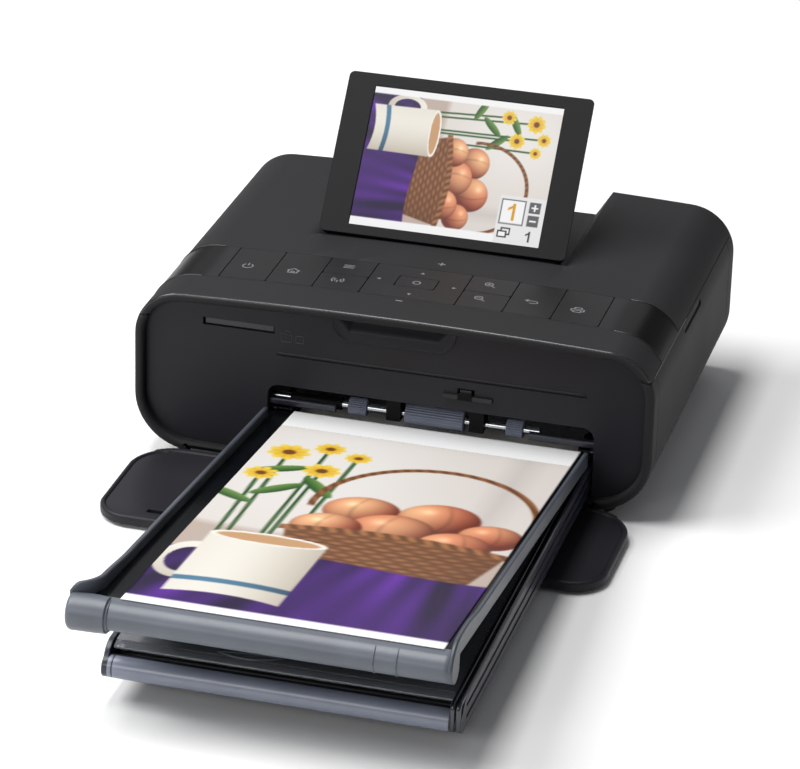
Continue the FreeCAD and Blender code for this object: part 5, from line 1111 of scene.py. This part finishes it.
# A rubber sleeve turned about X: the outline goes out along one end, over the tread, in at the other end and back
# along the bore. The tread is fluted, and more than one ring gives it grooves round it too.
def rollerSleeve(spec, left, right, radius, rings):
    soft, bore = spec["round"], spec["bore"]
    tread = np.linspace(left + soft, right - soft, 2 + 4 * rings)
    dip = spec["grooveDepth"] * (np.arange(len(tread)) % 4 == 2) * (rings > 1)
    outline = [(left, bore, 0), (left, radius - soft, 0), (left + 0.3 * soft, radius - 0.3 * soft, 0.5)]
    outline += [(x, radius - d, 1) for x, d in zip(tread, dip)]
    outline += [(right - 0.3 * soft, radius - 0.3 * soft, 0.5), (right, radius - soft, 0), (right, bore, 0)]
    return turnedX(outline, spec["y"], spec["z"], 192, spec["fluteDepth"], spec["flutes"])


# The exit shaft's three rollers, and a black tube on its left part with rounded ends.
def makeExitRollers(spec):
    sleeves = [rollerSleeve(spec, *spec["wide"], 1)]
    sleeves += [rollerSleeve(spec, *small, spec["grooves"]) for small in spec["small"]]
    piece = makeTubes("exitRollers", ("mouldedSiliconeRollers", "exit_shaft", "rubber"), *sleeves, bored=True)
    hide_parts("exit_rollers")
    left, right, radius = spec["sleeve"]
    bore, soft = spec["bore"], spec["sleeveRound"]
    tube = [(left, bore), (left, radius - soft), (left + soft, radius)]
    tube += [(right - soft, radius), (right, radius - soft), (right, bore)]
    where = ("dyedAcetalClips", "exit_shaft", "black_plastic")
    makeTubes("shaftSleeve", where, turnedX(tube, spec["y"], spec["z"], 48), bored=True)


makeExitRollers(rollers)
print("exit rollers made")


lid = {
    "left": -43.2,
    "right": 69.4,
    "back": 7.0,
    "front": -174.3,
    "gap": 0.05,  # between the print and the plate
    "thickness": 1.5,
    "rollY": -177.4,
    "rollZ": 35.3,
    "rollRadius": 4.4,
    "rollSweep": 235.0,
    "rollBlend": 0.5,  # radians over which the step between slope and roll closes
    "sheetInset": 0.2,
    "rollLeft": -36.9,
    "knobLeft": -50.0,
    "knobRadius": 5.9,
    "knobRound": 1.6,
    "knobSeam": ((-4.1, 0.15), (-0.9, 0.35), (-0.6, 1.1), (-0.1, 1.1)),  # from the roll's end, and how far in
    "wall": 1.4,
    "wallBack": -2.0,
    "wallRise": 3.4,
    "wallRows": 12,
    "wallCuts": (-150.0, -151.0),  # where its wide cuts end and its narrow ones start
    "earTop": 43.8,
    "earStart": -148.0,
    "earRun": 25.0,
    "earEnd": -173.0,
    "earBow": 8.7,
    "finTop": 44.2,
    "finStart": -146.0,
    "finRun": 28.0,
    "finTurn": -168.0,
    "finOut": 7.6,
    "finBow": 8.2,
    "finPowers": (1.6, 1.7),  # of its turn outwards and of its rise
    "finRound": (0.7, 2.6),  # the share of it from which its corner falls, and how far
    "finLow": 1.0,  # under the roll's line
    "ribs": (45.3, 52.3),
    "ribRadius": 0.28,
    "ribSweep": (78, 250),
    "axisY": 10.0,
    "axisZ": 19.93,
    "eyes": (-41.3, 63.5),  # where each eye starts
    "eye": (4.0, 0.95, 1.5),  # length, bore and outer radius
}


def lidMiddle(y):
    return slopeUnder(y) - lid["gap"] - lid["thickness"] / 2


# Y and Z at an angle round the roll's line.
def roundRoll(radius, angle):
    return lid["rollY"] + radius * np.cos(angle), lid["rollZ"] + radius * np.sin(angle)


# The lid's plate and roll are one sheet: its section runs down the slope from the hinge, then round the roll's
# centre as an arc, and it is carried across from side to side. The roll's part has a paler finish of its own:
# painted light, for the light that the roll catches and the plate does not.
def makeLidSheet(where):
    slope = math.radians(printSheet["rise"])
    bend = lid["rollRadius"] - lid["thickness"] / 2
    straight = np.linspace(lid["back"], lid["front"], 60)
    angle = math.pi / 2 - slope + np.linspace(0, math.radians(lid["rollSweep"]), 48)
    arcY, arcZ = roundRoll(bend, angle)
    lineZ = lidMiddle(straight)
    gap = lineZ[-1] - (lid["rollZ"] + bend * math.cos(slope))
    arcZ = arcZ + gap * np.exp(-(((angle - angle[0]) / lid["rollBlend"]) ** 2))
    y, z = np.concatenate([straight, arcY]), np.concatenate([lineZ, arcZ])
    x = np.linspace(lid["left"] + lid["sheetInset"], lid["right"] - lid["sheetInset"], 40)
    sheet = pointsAt(x, y[:, None], z[:, None])
    piece = makePiece("cassetteLidSheet", where, sheet, wall=lid["thickness"], offset=0.0)
    # the roll's faces take the paler tone: painted light
    piece.data.materials.append(finishes["smokePolycarbonatePaintedLit"])
    paintedLitFaces = np.repeat(np.arange(len(y) - 1) >= len(straight) - 1, len(x) - 1)
    piece.data.polygons.foreach_set("material_index", paintedLitFaces.astype(np.int32))
    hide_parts("cassette_lid")


# The side walls are sheets between a lower line, which follows the plate, and an upper line above it. The right
# one rises to an ear: past the plate's end its upper line falls round the roll as a quarter ellipse. The left one's
# plan turns outwards at the front and ends as the fin over the knob.
def makeLidWalls():
    half, rollZ = lid["thickness"] / 2, lid["rollZ"]
    share = np.linspace(0, 1, lid["wallRows"])[:, None]
    back, end, (wide, narrow) = lid["wallBack"], lid["earEnd"], lid["wallCuts"]
    bow = end - lid["earBow"] * np.sin(np.linspace(0.06, np.pi / 2, 20))
    y = np.concatenate([np.linspace(back, wide, 40), np.linspace(narrow, end, 24), bow])
    lift = smoothStep((lid["earStart"] - y) / lid["earRun"])
    base = lidMiddle(np.maximum(y, lid["front"]))
    high = (base + half + lid["wallRise"]) * (1 - lift) + lid["earTop"] * lift
    past = np.clip((end - y) / (lid["earBow"] + 0.1), 0, 1)
    high = np.where(y < end, rollZ + (lid["earTop"] - rollZ) * np.sqrt(1 - past**2), high)
    inRoll = np.clip(lid["rollRadius"] ** 2 - (y - lid["rollY"]) ** 2, 0, None)
    low = np.where(y < end, rollZ - np.sqrt(inRoll), base - half)
    right = pointsAt(lid["right"] - lid["wall"] / 2, y, low + share * (high - low))

    turn = np.linspace(0, 1, 22)[1:]
    tip = np.concatenate([np.zeros(64), turn])
    (out, climb), (corner, fall) = lid["finPowers"], lid["finRound"]
    x = lid["left"] + lid["wall"] / 2 - lid["finOut"] * tip**out
    bow = lid["finTurn"] - lid["finBow"] * np.sin(turn * np.pi / 2)
    y = np.concatenate([np.linspace(back, lid["finTurn"], 64), bow])
    rise = np.clip((lid["finStart"] - y) / lid["finRun"], 0, 1) ** climb
    base = lidMiddle(np.maximum(y, lid["front"]))
    high = (base + half + lid["wallRise"]) * (1 - rise) + lid["finTop"] * rise
    high = high - fall * np.clip((tip - corner) / (1 - corner), 0, 1) ** 2
    low = (base - half) * (1 - tip) + (rollZ - lid["finLow"]) * tip
    left = pointsAt(x, y, low + share * (high - low))
    # the walls' tone is painted light, between the dark plate and the pale roll
    where = ("etchedPolycarbonateWalls", "outer_lid", "smoke_plastic")
    makePiece("cassetteLidWalls", where, right, left[::-1], wall=lid["wall"], offset=0.0)


# The knob is turned about the roll's line, domed at its free end, with a seam ring where the roll begins.
def makeKnob(where):
    free, roll, outer, soft = lid["knobLeft"], lid["rollLeft"], lid["knobRadius"], lid["knobRound"]
    dome = np.linspace(0, np.pi / 2, 9)
    outline = [(free, 0.0)] + [(free + soft * (1 - math.cos(a)), outer - soft * (1 - math.sin(a))) for a in dome]
    outline += [(roll + x, outer - inset) for x, inset in lid["knobSeam"]]
    outline += [(roll, lid["rollRadius"] + 0.05), (roll, 0.0)]
    makeTubes("cassetteLidKnob", where, turnedX(outline, lid["rollY"], lid["rollZ"], 72))


# Two thin ribs round the front of the roll, and the eyes that turn on the hinge pins.
def makeRibsAndEyes(paintedLitDress, plateDress):
    sweep = np.radians(np.linspace(*lid["ribSweep"], 30))
    paths = [pointsAt(x, *roundRoll(lid["rollRadius"], sweep)) for x in lid["ribs"]]
    makeTubes("cassetteLidRibs", paintedLitDress, *[barAlong(path, lid["ribRadius"], 8) for path in paths])
    length, bore, outer = lid["eye"]
    rings = [[(x, bore), (x, outer), (x + length, outer), (x + length, bore)] for x in lid["eyes"]]
    eyes = [turnedX(ring, lid["axisY"], lid["axisZ"], 32) for ring in rings]
    makeTubes("cassetteLidEyes", plateDress, *eyes, bored=True)


lidPlateDress = ("polishedPolycarbonateLid", "outer_lid", "smoke_plastic")
# the roll, knob and ribs take a paler tone than the plate: painted light
lidPaintedLitDress = ("smokePolycarbonatePaintedLit", "outer_lid", "smoke_plastic")
makeLidSheet(lidPlateDress)
makeLidWalls()
makeKnob(lidPaintedLitDress)
makeRibsAndEyes(lidPaintedLitDress, lidPlateDress)
print("outer lid made")


tray = {
    "railRadius": 0.85,
    "rails": (66.75, 68.5),
    "railRound": 2.4,
    "front": -168.6,
    "low": 9.4,
    "top": 18.3,
    "back": -1.5,
    "bar": (-41.9, 65.6, 3.57),  # left, right, radius
    "barY": -165.5,
    "barZ": 11.5,
    "barRound": 0.5,
    "barGroove": ((1.6, 0.0), (1.9, 0.25), (2.2, 0.0)),  # places from its left end, and how far in
    "lip": (-40.9, 67.1, -160.2, -163.6),  # left, right, back, front
    "lipTop": 18.1,
    "lipDrop": 0.9,
    "lipWall": 1.1,
    "thumb": ((-9.4, -158.6), (1.2, -163.4), (11.2, -156.6)),
    "thumbBow": 0.5,
    "thumbZ": 18.3,
    "thumbRadius": 0.3,
}


# Twin rails stand at the tray's right front corner and run back along the top of its right wall. The bar
# across the tray's front is turned about X, with a groove near its left end, and is painted paler than the tray:
# painted highlight. The inner lid's front lip is a sheet that curves down by the square of how far forward it is.
# Its thumb notch is a crescent between two curves, as a thin raised rim in the roll's paler tone: painted
# highlight.
def makeTrayTrim(spec):
    smoke, soft = "smoke_plastic", spec["railRound"]
    front, low, top, back = (spec[k] for k in ("front", "low", "top", "back"))
    paths = [roundedPath([(x, front, low), (x, front, top), (x, back, top)], soft) for x in spec["rails"]]
    rails = [barAlong(path, spec["railRadius"], 12) for path in paths]
    makeTubes("trayRails", ("polishedPolycarbonateRails", "cassette", smoke), *rails)
    (left, right, radius), soft = spec["bar"], spec["barRound"]
    outline = [(left, 0.0), (left, radius - soft), (left + soft, radius)]
    outline += [(left + x, radius - inset) for x, inset in spec["barGroove"]] + [(right, radius), (right, 0.0)]
    bar = turnedX(outline, spec["barY"], spec["barZ"], 72)
    makeTubes("trayFrontBar", ("smokePolycarbonateBarPaintedHighlight", "cassette", smoke), bar)
    left, right, back, front = spec["lip"]
    x, ahead = np.meshgrid(np.linspace(left, right, 60), np.linspace(1, 0, 10))
    lip = pointsAt(x, back + ahead * (front - back), spec["lipTop"] - spec["lipDrop"] * ahead**2)
    makePiece("innerLidLip", ("clearPolycarbonateInnerLid", "inner_lid", smoke), lip, wall=spec["lipWall"])
    start, middle, end = (np.array(point) for point in spec["thumb"])
    t = np.linspace(0, 1, 26)[:, None]
    flat = (1 - t) * start + t * end + np.array([0.0, spec["thumbBow"]]) * np.sin(np.pi * t)
    x, y = np.concatenate([bentLine(start, middle, end, 26), flat[::-1][1:-1]]).T
    rim = barAlong(pointsAt(x, y, spec["thumbZ"]), spec["thumbRadius"], 8)
    makeTubes("innerLidThumbRim", ("smokePolycarbonatePaintedLit", "inner_lid", smoke), rim)


makeTrayTrim(tray)
print("tray trim made")


studio = {
    # pale seamless paper: nearly white and matt
    "paper": {"size": 125.0, "detail": 3.0, "dark": "#F1F1F0", "light": "#F4F4F3", "shader": {"Roughness": 0.8}},
    "floorWide": (-4000, 4000, 41),
    "floorDeep": (-3000, 5000, 41),
    "floorBend": 1500,
    "floorRise": 0.00024,
    "worldColour": "#F4F6FA",
    "worldStrength": 0.2,
    "lights": {  # place, aim and size in metres, and watts
        "overheadBox": ((-0.25, 0.0, 1.35), (0, 0.0, 0.03), (1.0, 0.35), 12),
        "keyBox": ((-0.95, -0.25, 1.2), (0, 0, 0.03), (0.9, 0.7), 20),
        "backStrip": ((-0.45, 1.5, 0.8), (0, 0.05, 0.05), (1.5, 0.5), 2.4),
        "frontCard": ((-0.6, -1.45, 0.75), (0, -0.1, 0.03), (1.0, 0.4), 6),
    },
}


# A flat sheet that curves up far behind: its height is the square of how far back it is past the bend.
def makeFloor(spec):
    side, deep = np.meshgrid(np.linspace(*spec["floorWide"]), np.linspace(*spec["floorDeep"]))
    height = spec["floorRise"] * np.clip(deep - spec["floorBend"], 0, None) ** 2
    floor = gridMesh("studioFloor", pointsAt(side, deep, height))
    floor.data.materials.append(makeFinish("paleSeamlessPaper", mottledLayer, spec["paper"]))


def makeWorld(spec):
    world = bpy.data.worlds.new("studioWorld")
    bpy.context.scene.world = world
    world.use_nodes = True
    sky = world.node_tree.nodes["Background"].inputs
    sky["Color"].default_value, sky["Strength"].default_value = fromHex(spec["worldColour"]), spec["worldStrength"]


def softLight(name, place, aim, size, power):
    data = bpy.data.lights.new(name, "AREA")
    data.shape, data.energy = "RECTANGLE", power
    data.size, data.size_y = size
    light = addObject(name, data)
    light.rotation_euler = (Vector(place) - Vector(aim)).to_track_quat("Z", "Y").to_euler()
    light.location = place


makeFloor(studio)
makeWorld(studio)
for name, values in studio["lights"].items():
    softLight(name, *values)
bpy.context.scene.view_settings.view_transform = "Standard"
print("floor and lights made")
